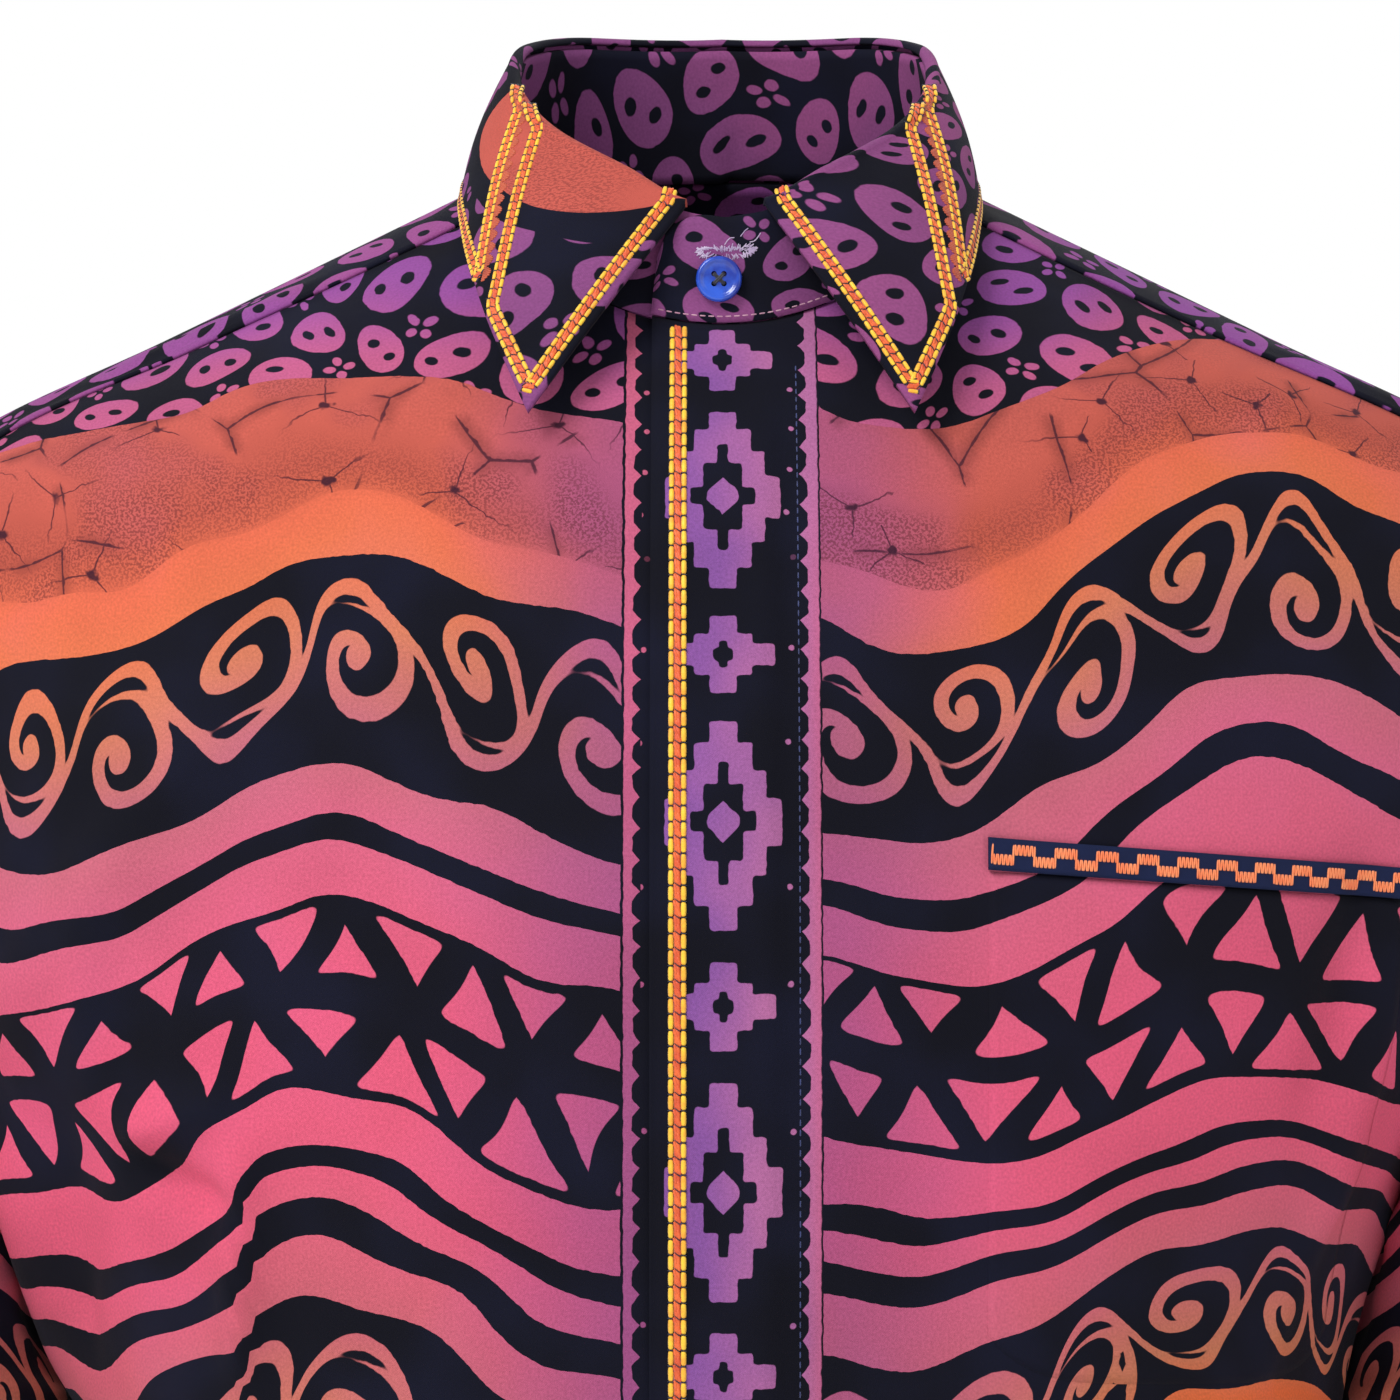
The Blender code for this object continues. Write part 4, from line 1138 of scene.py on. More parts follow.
@dataclass(frozen=True)
class BatikFinish:
    """Plain-weave cotton, waxed and dyed by hand, with the print's layout for one kind of piece."""

    name: str
    layout: Layout
    top: float = -0.066
    shift: float = 0.0
    oval_period: float = 0.0330
    hue: tuple = PURPLE

    def make(self) -> Material:
        """Build the finish's material.

        Returns:
            The material.
        """
        tree = Tree(self.name)
        tree.tree.nodes.remove(tree.shader)
        uv = tree.uv()
        cloth = Cloth(tree, uv)
        if self.layout in (Layout.OVALS, Layout.COLLAR):
            warm = tree.noise(uv, 12.0, 1.0)
            shader = cloth.shade(self.ovals(cloth), tree.mixed(warm.step(0.42, 0.70) * 0.6, self.hue, MAUVE))
            if self.layout is Layout.COLLAR:
                shader = self.swath(cloth, shader)
        else:
            shader = self.bands(cloth)
        if self.layout is Layout.LEFT_FRONT:
            shader = self.placket(cloth, shader)
        if self.layout is Layout.RIGHT_FRONT:
            shader = self.strip(cloth, shader)
        tree.link(shader, tree.tree.nodes["Material Output"].inputs["Surface"])
        return tree.material

    def ovals(self, cloth: Cloth) -> Num:
        """Ovals with two hearts each, and small groups of dots between them, as 1 where dyed.

        Args:
            cloth: The shared nodes.

        Returns:
            1 where dyed.
        """
        tree, turn, jitter = cloth.tree, math.radians(28), 0.38
        x = (cloth.s * math.cos(turn) + cloth.v * math.sin(turn)) / self.oval_period
        y = (cloth.v * math.cos(turn) - cloth.s * math.sin(turn)) / self.oval_period
        jitter_a, jitter_b = tree.noise_pair(tree.vector(x, y), 0.55, 0.0)
        x = x + (jitter_a - 0.5) * jitter
        y = y + (jitter_b - 0.5) * jitter
        long_half, short_half, heart_at, dot_at, dot_size = 0.312, 0.254, 0.122, 0.098, 0.046

        def petal(a: Num, b: Num) -> Num:
            """One oval less its hearts, by the long and the short way: below zero inside."""
            heart = length((abs(a) - heart_at) / 0.056, (b + a * 0.25) / 0.068) - 1
            return ((length(a / long_half, b / short_half) - 1) * 0.30).most(heart * -0.058)

        across, along = x.part() - 0.5, y.part() - 0.5
        lying = petal(across, (y + 0.5).part() - 0.5)
        standing = petal(along, (x + 0.5).part() - 0.5)
        across, along = abs(across), abs(along)
        far, close = across.most(along) - dot_at, across.least(along)
        dots = (far * far * 0.6 + close * close).root() - dot_size
        return lying.least(standing).least(dots).inside(0.006)

    def bands(self, cloth: Cloth) -> Socket:
        """The ovals, and the wavy bands below them: cracks, plain stripes, scrolls and triangles.

        Args:
            cloth: The shared nodes.

        Returns:
            The shader.
        """
        tree, along = cloth.tree, cloth.s + self.shift
        long_wave, short_wave = 0.27, 0.118
        broad, thick = tree.noise_pair(cloth.uv, 6.5, 0.0)
        wave = ((along + 0.10) * (TURN / long_wave) + math.pi / 2).sine() * 0.0175
        wave = wave + (along * (TURN / short_wave) + 1.0).sine() * 0.0050 + (broad - 0.5) * 0.040
        depth = self.top - (cloth.v - wave) + (cloth.v * 14 + thick * 9).sine() * 0.0030
        run = (depth / BAND_RUN).part() * BAND_RUN
        stops = [(place / 1000 / BAND_RUN, fill.value) for place, fill in BANDS]
        fill = tree.add("ShaderNodeValToRGB", {"spread": "CONSTANT", "stops": stops}, {0: run / BAND_RUN})
        solid, scroll_zone, triangle_zone = tree.parts(fill.outputs[0], "Color")
        whole = Num(tree, fill.outputs[1])
        stops = [(place / 1000 / BAND_RUN, colour) for place, colour in BAND_COLOURS]
        hues = tree.add("ShaderNodeValToRGB", {"spread": "LINEAR", "stops": stops}, {0: run / BAND_RUN})
        close = abs(cloth.s0).step(0.082, 0.022) * 0.78
        hue = tree.mixed((close + (cloth.cloud - 0.5) * 0.55).most(0.0).least(1.0), hues.outputs[0], MAUVE)
        shader = cloth.shade(solid, hue)
        shader = tree.blend(whole, cloth.shade(1.0, self.cracks(cloth, along, run, hue)), shader)
        shader = tree.blend(scroll_zone, shader, cloth.shade(self.scrolls(cloth, along, run), hue))
        shader = tree.blend(triangle_zone, shader, cloth.shade(self.triangles(cloth, along, run), hue))
        high = tree.mixed(depth.step(-0.050, -0.004) * 0.8, PURPLE, ROSE)
        return tree.blend(depth.step(-0.0001, 0.0001), cloth.shade(self.ovals(cloth), high), shader)

    def scrolls(self, cloth: Cloth, along: Num, run: Num) -> Num:
        """A running scroll: a waving stem with a spiral on each side in turn, as 1 where dyed.

        Args:
            cloth: The shared nodes.
            along: The metres along the bands.
            run: The depth in one run of the bands.

        Returns:
            1 where dyed.
        """
        tree, period, line, pitch, reach = cloth.tree, 0.0320, 0.0046, 0.0112, 0.0145
        stem_rise, bud_size = 0.0155, 0.0032
        middle = run * 0.0
        for low, high in SCROLLS:
            centre = (low + high) / 2
            middle = middle + tree.math("COMPARE", run, centre, 0.026) * centre
        cell = (along / period + 0.5).whole()
        x = ((along / period + 0.5).part() - 0.5) * period
        side = 1 - (cell / 2).part() * 4
        y = (middle - run) * side
        chance = tree.chance(cell)
        stem = abs(y + (x * (math.pi / period) + math.pi / 2).sine() * stem_rise) - line * 0.42
        high = y - 0.0040 - chance * 0.0022
        radius = length(x, high)
        angle = tree.math("ARCTAN2", high, x) / TURN
        turns = radius / pitch + angle + 0.37 + chance * 0.10
        arm = (abs(turns.part() - 0.5) * pitch - line * 0.46).soft_most(radius - reach, 0.0015)
        return stem.soft_least(arm, 0.0030).soft_least(radius - bud_size, 0.0012).inside()

    def triangles(self, cloth: Cloth, along: Num, run: Num) -> Num:
        """Two rows of rounded, hollow-sided triangles that point up and down in turn, as 1 where dyed.

        Args:
            cloth: The shared nodes.
            along: The metres along the bands.
            run: The depth in one run of the bands.

        Returns:
            1 where dyed.
        """
        tree, period = cloth.tree, 0.0345
        low, high = TRIANGLE_BAND
        row_height = (high - low) / 2
        placed = (high - run) / row_height
        y = placed.part() * row_height
        row = placed.whole()
        shifted = along / period + row * 0.37
        up_chance = tree.chance(shifted.whole() + row * 7.3)
        down_chance = tree.chance((shifted + 0.5).whole() + row * 7.3 + 0.4)
        x = abs(shifted.part() - 0.5) * period
        lean = (x - (1 - y / row_height) * (period / 2)) * 0.84
        waist = (y * (math.pi / row_height)).sine() * 0.0018 + 0.0026
        up_base, down_base = up_chance * 0.0024 + 0.0040, down_chance * 0.0024 + 0.0040
        tip, soft = 0.0055, 0.005
        upright = (lean + waist + up_chance * 0.002).soft_most(up_base - y, soft)
        upright = upright.soft_most(y - row_height + tip, soft)
        hanging = (waist - lean + down_chance * 0.002).soft_most(y - row_height + down_base, soft)
        hanging = hanging.soft_most(tip - y, soft)
        return upright.least(hanging).inside()

    def cracks(self, cloth: Cloth, along: Num, run: Num, hue: object) -> Socket:
        """The broad bands' dye, with fine dark cracks, knots with hairs, and dusky grain in it.

        Args:
            cloth: The shared nodes.
            along: The metres along the bands.
            run: The depth in one run of the bands.
            hue: The dye's colour.

        Returns:
            The colour.
        """
        tree, web_scale, knot_scale = cloth.tree, 25.0, 36.0
        place = tree.vector(along + cloth.v * 0.25, cloth.v - along * 0.2)
        broken = tree.noise(cloth.uv, 48.0, 1.0)
        away = Num(tree, tree.cells(place, web_scale, "DISTANCE_TO_EDGE")["Distance"]) + cloth.ragged * 0.016
        lines = away.step(0.0135, 0.0045) * broken.step(0.43, 0.50)
        stain = away.step(0.12, 0.0) * broken.step(0.42, 0.58) * 0.42
        knots = tree.cells(place, knot_scale, "F1")
        off = tree.add("ShaderNodeVectorMath", {"operation": "SUBTRACT"}, {0: place, 1: knots["Position"]})
        x, y, _ = tree.parts(off.outputs[0])
        chance = tree.parts(knots["Color"], "Color")[0]
        radius = length(x, y)
        rays = abs((tree.math("ARCTAN2", y, x) * 1.5 + chance * 6.0 + cloth.ragged * 0.25).sine())
        hairs = (radius * rays).step(0.00052, 0.00018) * radius.step(0.019, 0.007)
        knot = (radius + cloth.ragged * 0.003).step(0.0021, 0.0009)
        stars = (hairs * 0.85).most(knot) * chance.step(0.24, 0.28)
        dusk = run.step(0.018, 0.040) * run.step(0.052, 0.046) + run.step(0.335, 0.356) * 0.6
        dust = (dusk * 0.75 + cloth.cloud.step(0.45, 0.62) * 0.75).least(1.0) * cloth.grain.step(0.38, 0.62)
        dusky = tree.mixed((dust * 0.62).most(stain), hue, DARK_DYE)
        return tree.mixed((lines * 0.80).most(stars * 0.92), dusky, CRACK_DYE)

    def placket(self, cloth: Cloth, bands: Socket) -> Socket:
        """The placket's stepped lozenges and the scalloped strip beside it, over the bands.

        Args:
            cloth: The shared nodes.
            bands: The shader outside it.

        Returns:
            The shader.
        """
        tree, s, v = cloth.tree, cloth.s0 + cloth.ragged * 0.0006, cloth.v0 + cloth.ragged * 0.0006
        edge = 0.0205 + self.scallop(cloth, 0.0082, 0.2)
        line = 0.0254
        strip = (s - edge).step(-0.0001, 0.0001) * (s - line).step(0.0002, -0.0002)
        on_placket = (s - edge).step(0.0001, -0.0001)
        dyed = strip + on_placket * self.lozenges(tree, s, v).most(self.spots(tree, s - 0.0186, v))
        lilac = tree.mixed((s * 26 + cloth.cloud).step(0.2, 1.0), linear(142, 88, 164), linear(182, 108, 158))
        hue = tree.mixed(s.step(0.0200, 0.0262) * v.step(-0.06, -0.14) * 0.6, lilac, ROSE)
        return tree.blend(s.step(line + 0.0005, line + 0.0006), cloth.shade(dyed, hue), bands)

    def scallop(self, cloth: Cloth, pitch: float, start: float) -> Num:
        """How far the navy scallops bite, unevenly, along a placket's edge."""
        wave = abs((cloth.v0 * (math.pi / pitch) + start + (cloth.cloud - 0.5) * 3.0).sine())
        return (wave * 1.25).least(1.0) * (0.0014 + cloth.cloud * 0.0012)

    def lozenges(self, tree: Tree, s: Num, v: Num) -> Num:
        """A column of large stepped lozenges and small stepped crosses in turn, as 1 where dyed.

        Args:
            tree: The finish's nodes.
            s: The distance from the centre front.
            v: The height.

        Returns:
            1 where dyed.
        """
        first, period, stretch = -0.1770, 0.0945, 1.086
        v = (v - first).least(0.0) + (v - first).most(0.0) * stretch
        across = abs(s - 0.0003)
        large = abs((v / period + 0.5).part() - 0.5) * period
        small = abs((v / period).part() - 0.5) * period

        def steps(up: Num, sizes: Sequence[tuple[float, float]]) -> Num:
            """A stepped shape: the union of upright boxes about one centre.

            Args:
                up: The distance from its middle, along the placket.
                sizes: Each box's half width and half height.

            Returns:
                The distance outside it.
            """
            shape = None
            for half_width, half_height in sizes:
                box = (across - half_width).soft_most(up - half_height, 0.0016)
                shape = box if shape is None else shape.soft_least(box, 0.0014)
            return shape

        ring = steps(large, ((0.0036, 0.0280), (0.0075, 0.0218), (0.0110, 0.0141), (0.0151, 0.0064)))
        hollow = steps(large, ((0.0014, 0.0165), (0.0051, 0.0103), (0.0085, 0.0027)))
        heart = (across + large).soft_most(across * 1.35, 0.002) * 0.72 - 0.0040
        big = ring.most((hollow * -1).least(heart))
        cross = steps(small, ((0.0035, 0.0112), (0.0075, 0.0060), (0.0134, 0.0032)))
        star = steps(small, ((0.0011, 0.0040), (0.0026, 0.0018)))
        return big.least(cross.most(star * -1)).inside()

    def spots(self, tree: Tree, s: Num, v: Num) -> Num:
        """Small wax drops beside the scallops.

        Args:
            tree: The finish's nodes.
            s: The distance from the drops' line.
            v: The height.

        Returns:
            1 where dyed.
        """
        pitch = 0.0125
        up = ((v / pitch).part() - 0.5) * pitch
        chance = tree.chance((v / pitch).whole())
        across = s + chance * 0.0040
        return length(across, up).step(0.0009, 0.0006) * chance.step(-0.05, 0.0)

    def strip(self, cloth: Cloth, bands: Socket) -> Socket:
        """The scalloped strip along the right front's edge, and navy under the lap, over the bands.

        Args:
            cloth: The shared nodes.
            bands: The shader outside it.

        Returns:
            The shader.
        """
        tree, s, line = cloth.tree, cloth.s0 + cloth.ragged * 0.0006, -0.0257
        edge = -0.0212 - self.scallop(cloth, 0.0080, 0.9)
        band = (s - line).step(0.0001, 0.0003) * (edge - s).step(-0.0001, 0.0001)
        dyed = band.most(self.spots(tree, s + 0.0198, cloth.v0) * s.step(-0.0212, -0.0208))
        hue = tree.mixed(cloth.v0.step(-0.10, -0.30), ROSE, MAUVE)
        return tree.blend(s.step(line - 0.0005, line - 0.0006), cloth.shade(dyed, hue), bands)

    def swath(self, cloth: Cloth, ovals: Socket) -> Socket:
        """A coral swath with a navy rim across the collar on the wearer's right.

        Args:
            cloth: The shared nodes.
            ovals: The shader outside it.

        Returns:
            The shader.
        """
        tree, middle, stretch, size, rim = cloth.tree, (0.154, -0.004), 1.30, 0.030, 0.0090
        mass = length((cloth.s - middle[0]) / stretch, cloth.v - middle[1]) - size
        coral = tree.mixed(cloth.grain.step(0.40, 0.62) * cloth.cloud.step(0.4, 0.6) * 0.5, CORAL, DARK_DYE)
        swath = cloth.shade(mass.inside(), coral)
        return tree.blend((mass - rim).inside(), ovals, swath)


@dataclass(frozen=True)
class ThreadFinish:
    """Glossy embroidery thread with a fine twist."""

    name: str
    colour: tuple
    shade: tuple
    twist: float = 1500.0

    def make(self) -> Material:
        """Build the finish's material.

        Returns:
            The material.
        """
        tree = Tree(self.name)
        place = tree.place()
        mottle, strand = tree.noise(place, 260.0, 2.0, "3D"), tree.noise(place, self.twist, 1.0, "3D")
        colour = tree.mixed((mottle.step(0.35, 0.70) * 0.6 + strand * 0.4).least(1.0), self.colour, self.shade)
        normal = tree.bump(strand, 0.0002, 0.5)
        return tree.finish(Base_Color=colour, Roughness=0.40 + strand * 0.2, Normal=normal, Sheen_Weight=0.2)


@dataclass(frozen=True)
class TwillFinish:
    """Navy-blue twill with fine slanting lines."""

    name: str
    rib: float = 0.00055

    def make(self) -> Material:
        """Build the finish's material.

        Returns:
            The material.
        """
        tree = Tree(self.name)
        uv = tree.uv()
        x, y, _ = tree.parts(uv)
        ribs = ((x + y) * (TURN / self.rib)).sine() * 0.5 + 0.5
        cloud = tree.noise(uv, 120.0, 2.0)
        colour = tree.mixed(ribs * 0.5 + cloud * 0.4, linear(15, 22, 50), linear(33, 44, 84))
        normal, rough = tree.bump(ribs, 0.0002, 0.6), 0.70 + cloud * 0.15
        return tree.finish(Base_Color=colour, Roughness=rough, Normal=normal, Specular_IOR_Level=0.15)


@dataclass(frozen=True)
class ButtonFinish:
    """Glossy blue button plastic with faint clouds in it."""

    name: str

    def make(self) -> Material:
        """Build the finish's material.

        Returns:
            The material.
        """
        tree = Tree(self.name)
        cloud = tree.noise(tree.place(), 160.0, 3.0, "3D")
        colour = tree.mixed(cloud.step(0.35, 0.65), linear(14, 44, 150), linear(36, 88, 208))
        coat = {"Coat_Weight": 0.5, "Coat_Roughness": 0.08}
        normal, rough = tree.bump(cloud, 0.0001, 0.3), 0.16 + cloud * 0.14
        return tree.finish(Base_Color=colour, Roughness=rough, Normal=normal, **coat)


@dataclass(frozen=True)
class FloorFinish:
    """A plain pale floor that stays as pale far away, where the lamps don't reach."""

    name: str
    glow_from: float = 0.9
    glow_to: float = 2.6

    def make(self) -> Material:
        """Build the finish's material.

        Returns:
            The material.
        """
        tree = Tree(self.name)
        away = tree.add("ShaderNodeVectorMath", {"operation": "LENGTH"}, {0: tree.place()})
        far = Num(tree, away.outputs["Value"]).step(self.glow_from, self.glow_to)
        glow = tree.mixed(far, (0.0, 0.0, 0.0, 1.0), (1.0, 1.0, 1.0, 1.0))
        paint = (0.92, 0.92, 0.92, 1.0)
        return tree.finish(Base_Color=paint, Roughness=0.9, Emission_Strength=0.5, Emission_Color=glow)


# ---- Stitches ----


@dataclass(frozen=True)
class Face:
    """A surface to sew on: its points for two place values, and a point inside that it faces away from."""

    surface: Place
    centre: Vector
    step: float = 0.0005

    def look(self, a: Array, b: Array) -> Spots:
        """Points of the surface and the directions out of it.

        Args:
            a: The first place values.
            b: The second place values.

        Returns:
            The points and the directions.
        """
        points = self.surface(a, b)
        across = self.surface(a + self.step, b) - self.surface(a - self.step, b)
        up = self.surface(a, b + self.step) - self.surface(a, b - self.step)
        out = unit(np.cross(across, up))
        inward = ((points - np.array(self.centre)) * out).sum(axis=-1, keepdims=True) < 0
        return points, np.where(inward, -out, out)

    def line(self, route: Sequence[tuple], gap: float) -> Iterator[tuple]:
        """Evenly spaced places along a route.

        Args:
            route: The route's corners, in the surface's place values.
            gap: The distance between places, in metres.

        Returns:
            For each place its point, the direction along the route and the direction out of the surface.
        """
        corners = np.array(route, float)
        fine = np.linspace(0, len(corners) - 1, 80 * (len(corners) - 1) + 1)
        a = np.interp(fine, range(len(corners)), corners[:, 0])
        b = np.interp(fine, range(len(corners)), corners[:, 1])
        lengths = np.linalg.norm(np.diff(self.surface(a, b), axis=0), axis=-1)
        run = np.concatenate([[0], np.cumsum(lengths)])
        count = max(int(round(run[-1] / gap)), 2)
        places = (np.arange(count) + 0.5) * run[-1] / count
        points, out = self.look(np.interp(places, run, a), np.interp(places, run, b))
        return zip(points, unit(np.gradient(points, axis=0)), out)


class Thread:
    """Stitches of one thread, gathered into one piece."""

    def __init__(self, name: str) -> None:
        """Start with a plump stitch one metre in size, to be scaled.

        Args:
            name: The name.
        """
        self.name = name
        self.maker = bmesh.new()
        blunt, plump = 0.45, bmesh.new()
        bmesh.ops.create_uvsphere(plump, u_segments=6, v_segments=6, radius=0.5)
        bmesh.ops.rotate(plump, verts=plump.verts[:], matrix=Matrix.Rotation(math.pi / 2, 3, "Y"))
        for vert in plump.verts:
            across = 2 * math.hypot(vert.co.y, vert.co.z)
            fatter = across**-blunt if across > 1e-4 else 1.0
            longer = math.copysign(abs(2 * vert.co.x) ** blunt / 2, vert.co.x)
            vert.co = (longer, vert.co.y * fatter, vert.co.z * fatter)
        self.plump = bpy.data.meshes.new(name + "_stitch")
        plump.to_mesh(self.plump)
        plump.free()
        self.rest = np.empty(len(self.plump.vertices) * 3, np.float32)
        self.plump.vertices.foreach_get("co", self.rest)

    def stitch(self, point: Array, along: Array, out: Array, size: tuple, side: float = 0.0, lean: float = 0.0,
               ahead: float = 0.0) -> None:
        """Lay one stitch.

        Args:
            point: A point of the line that it belongs to.
            along: The line's direction.
            out: The direction out of the cloth.
            size: Its length, width and height.
            side: How far to the side of the line it lies.
            lean: Its turn from the line.
            ahead: How far along the line it lies from the point.
        """
        along, out = Vector(along), Vector(out)
        across = out.cross(along).normalized()
        out = along.cross(across)
        ahead_way = along * math.cos(lean) + across * math.sin(lean)
        side_way = out.cross(ahead_way)
        middle = Vector(point) + across * side + along * ahead
        turn = Matrix((ahead_way * size[0], side_way * size[1], out * size[2])).transposed().to_4x4()
        self.plump.transform(Matrix.Translation(middle) @ turn)
        self.maker.from_mesh(self.plump)
        self.plump.vertices.foreach_set("co", self.rest)

    def line(self, spots: Iterable[tuple], size: tuple) -> None:
        """Lay one stitch at each place of a line."""
        for spot in spots:
            self.stitch(*spot, size)

    def build(self, material: Material, slot: str) -> Thing:
        """Finish the piece.

        Args:
            material: The finish.
            slot: The record's material slot.

        Returns:
            The piece.
        """
        piece = new_object(self.name, self.maker, material)
        bpy.data.meshes.remove(self.plump)
        finish_piece(piece, (), slot)
        return piece


@dataclass
class ChainBand:
    """A band of chain stitch: yellow dashes at both sides, orange lobes between, dark ties at the gaps."""

    name: str
    slot: str
    threads: Threads
    pitch: float
    width: float
    dash_width: float

    def __post_init__(self) -> None:
        """Start the band's threads."""
        self.yellow = Thread(self.name + "_yellow")
        self.orange = Thread(self.name + "_orange")
        self.navy = Thread(self.name + "_ties")

    def sew(self, face: Face, route: Sequence[tuple]) -> None:
        """Sew the band along a route on a surface.

        Args:
            face: The surface that carries it.
            route: The route's corners.
        """
        side = (self.width - self.dash_width) / 2
        inner = side - self.dash_width / 2
        dash = (self.pitch * 0.93, self.dash_width, 0.0011)
        lobe = (self.pitch * 0.66, inner * 1.10, 0.0009)
        tie = (self.dash_width * 1.15, 0.00036, 0.0010)
        cross = (inner * 1.9, 0.00034, 0.0010)
        fill = (self.pitch * 1.08, inner * 1.9, 0.0005)
        for i, spot in enumerate(face.line(route, self.pitch)):
            lean = 0.30 + 0.14 * math.sin(i * 2.4)
            self.orange.stitch(*spot, fill)
            self.orange.stitch(*spot, lobe, inner * 0.46, lean, self.pitch * 0.20)
            self.orange.stitch(*spot, lobe, -inner * 0.46, lean, -self.pitch * 0.28)
            for edge in (-side, side):
                self.yellow.stitch(*spot, dash, -edge)
                self.navy.stitch(*spot, tie, edge, 1.45, self.pitch * 0.5)
            self.navy.stitch(*spot, cross, 0.0, 0.9, self.pitch * 0.45)

    def build(self) -> list[Thing]:
        """Finish the band's pieces."""
        pairs = ((self.yellow, "yellow"), (self.orange, "orange"), (self.navy, "navy"))
        return [thread.build(self.threads[colour], self.slot) for thread, colour in pairs]


@dataclass
class Topstitch:
    """Plain running stitches of one thread along the edges of one panel."""

    name: str
    slot: str
    thread: Material
    length: float = 0.0024
    gap: float = 0.0033
    width: float = 0.00046

    def build(self, face: Face, routes: Sequence) -> Thing:
        """Sew all the routes on a surface as one piece.

        Args:
            face: The surface that carries it.
            routes: The routes' corners.

        Returns:
            The piece.
        """
        sewn = Thread(self.name)
        for route in routes:
            sewn.line(face.line(route, self.gap), (self.length, self.width, self.width))
        return sewn.build(self.thread, self.slot)


# ---- The shirt's pieces ----

THREAD_COLOURS = {
    "yellow": ((255, 214, 52), (244, 158, 40)),
    "orange": ((240, 112, 48), (208, 70, 38)),
    "navy": ((18, 18, 34), (30, 32, 56)),
    "rust": ((206, 92, 54), (160, 62, 44)),
    "peach": ((248, 150, 96), (240, 116, 66)),
    "blue": ((46, 60, 118), (30, 36, 80)),
    "lilac": ((206, 190, 216), (150, 120, 170)),
    "pink": ((214, 168, 186), (170, 110, 140)),
}

CORE = Vector((0.0, MID_Y, -0.35))
NECK_CORE = Vector((0.0, FOLD_MID_Y, 0.02))
NECK_STEP = 0.002


class BodyPanel(Panel):
    """A panel that lies on the body, in rows from one side edge to the other and from the hem to its top."""

    def place(self, u: Array, v: Array) -> Spots:
        """The turn and height of places on the panel, as on the left.

        Args:
            u: From 0 to 1 across.
            v: From 0 to 1 up.

        Returns:
            The turns and heights.
        """
        low_z = mix(hem_z(self.row(u, UNDERARM_Z)), UNDERARM_Z, np.minimum(v / self.split, 1.0))

        def bottom(s: Array) -> Spots:
            """The line at the underarm's height."""
            return self.row(s, UNDERARM_Z), np.full_like(s, UNDERARM_Z)

        high_v = np.clip((v - self.split) / (1 - self.split), 0.0, 1.0)
        high = patch(bottom, self.top, self.first_edge, self.last_edge, u, high_v)
        low = v < self.split
        return np.where(low, self.row(u, low_z), high[0]), np.where(low, low_z, high[1])

    def lift(self, turn: Array, z: Array) -> Amount:
        """How far the panel stands off the body's surface."""
        return 0.0

    def outside(self, u: Array, v: Array) -> Array:
        """The panel's outer face."""
        turn, z = self.place(u, v)
        return TORSO.point(self.side * turn, z, self.lift(turn, z))

    def flat(self, u: Array, v: Array, points: Array, rows: Array, columns: Array) -> Array:
        """The cloth's own coordinates."""
        turn, z = self.place(u, v)
        return CLOTH_MAP.flat(self.side * turn, z, back=self.node == "back")


class Front(BodyPanel):
    """One front, from the centre to the side seam and from the hem to the neck and the yoke."""

    split = FRONT_SPLIT
    seam_turn = math.pi / 2 - SEAM / 2 / FOLD_RADIUS
    neck_start = -math.asin(LAP_EDGE / NECK_HALF_WIDTH)

    def edge_turn(self, z: Amount) -> Array:
        """The turn of the front edge at a height, given as on the left."""
        return -np.abs(TORSO.turn_at(np.asarray(-self.side * LAP_EDGE), np.asarray(z)))

    def row(self, s: Array, z: Amount) -> Array:
        """The turns from the front edge to the side seam at a height."""
        return mix(self.edge_turn(z), self.seam_turn, s**FRONT_SPREAD)

    def top(self, s: Array) -> Spots:
        """The neck seam and the yoke's seam.

        Args:
            s: From 0 to 1 along the line.

        Returns:
            The turns and heights.
        """
        neck = neck_place(mix(self.neck_start, YOKE_NECK_ANGLE, np.minimum(s / NECK_SHARE, 1.0)))
        neck_end = neck_place(np.full_like(s, YOKE_NECK_ANGLE))
        arm_end = armhole_place(YOKE_FRONT_ANGLE, -1)
        seam = between(neck_end, arm_end, np.maximum((s - NECK_SHARE) / (1 - NECK_SHARE), 0.0))
        return np.where(s < NECK_SHARE, neck[0], seam[0]), np.where(s < NECK_SHARE, neck[1], seam[1])

    def first_edge(self, s: Array) -> Spots:
        """The front edge up to the neck."""
        z = mix(UNDERARM_Z, neck_place(np.full_like(s, self.neck_start))[1], s)
        return self.edge_turn(z), z

    def last_edge(self, s: Array) -> Spots:
        """The armhole up to the yoke."""
        turn, z = armhole_place(s * YOKE_FRONT_ANGLE, -1)
        return np.minimum(turn, self.seam_turn), z

    def lift(self, turn: Array, z: Array) -> Amount:
        """How far the front stands off the body's surface."""
        return 0.0 if self.side < 0 else lap_lift(TORSO.plain(turn, z)[..., 0], z)

    def surface(self, x: Array, z: Array) -> Array:
        """Points on the front's outside by x and height, for its stitches."""
        turn = TORSO.turn_at(x, z)
        return TORSO.point(turn, z, self.lift(turn, z))


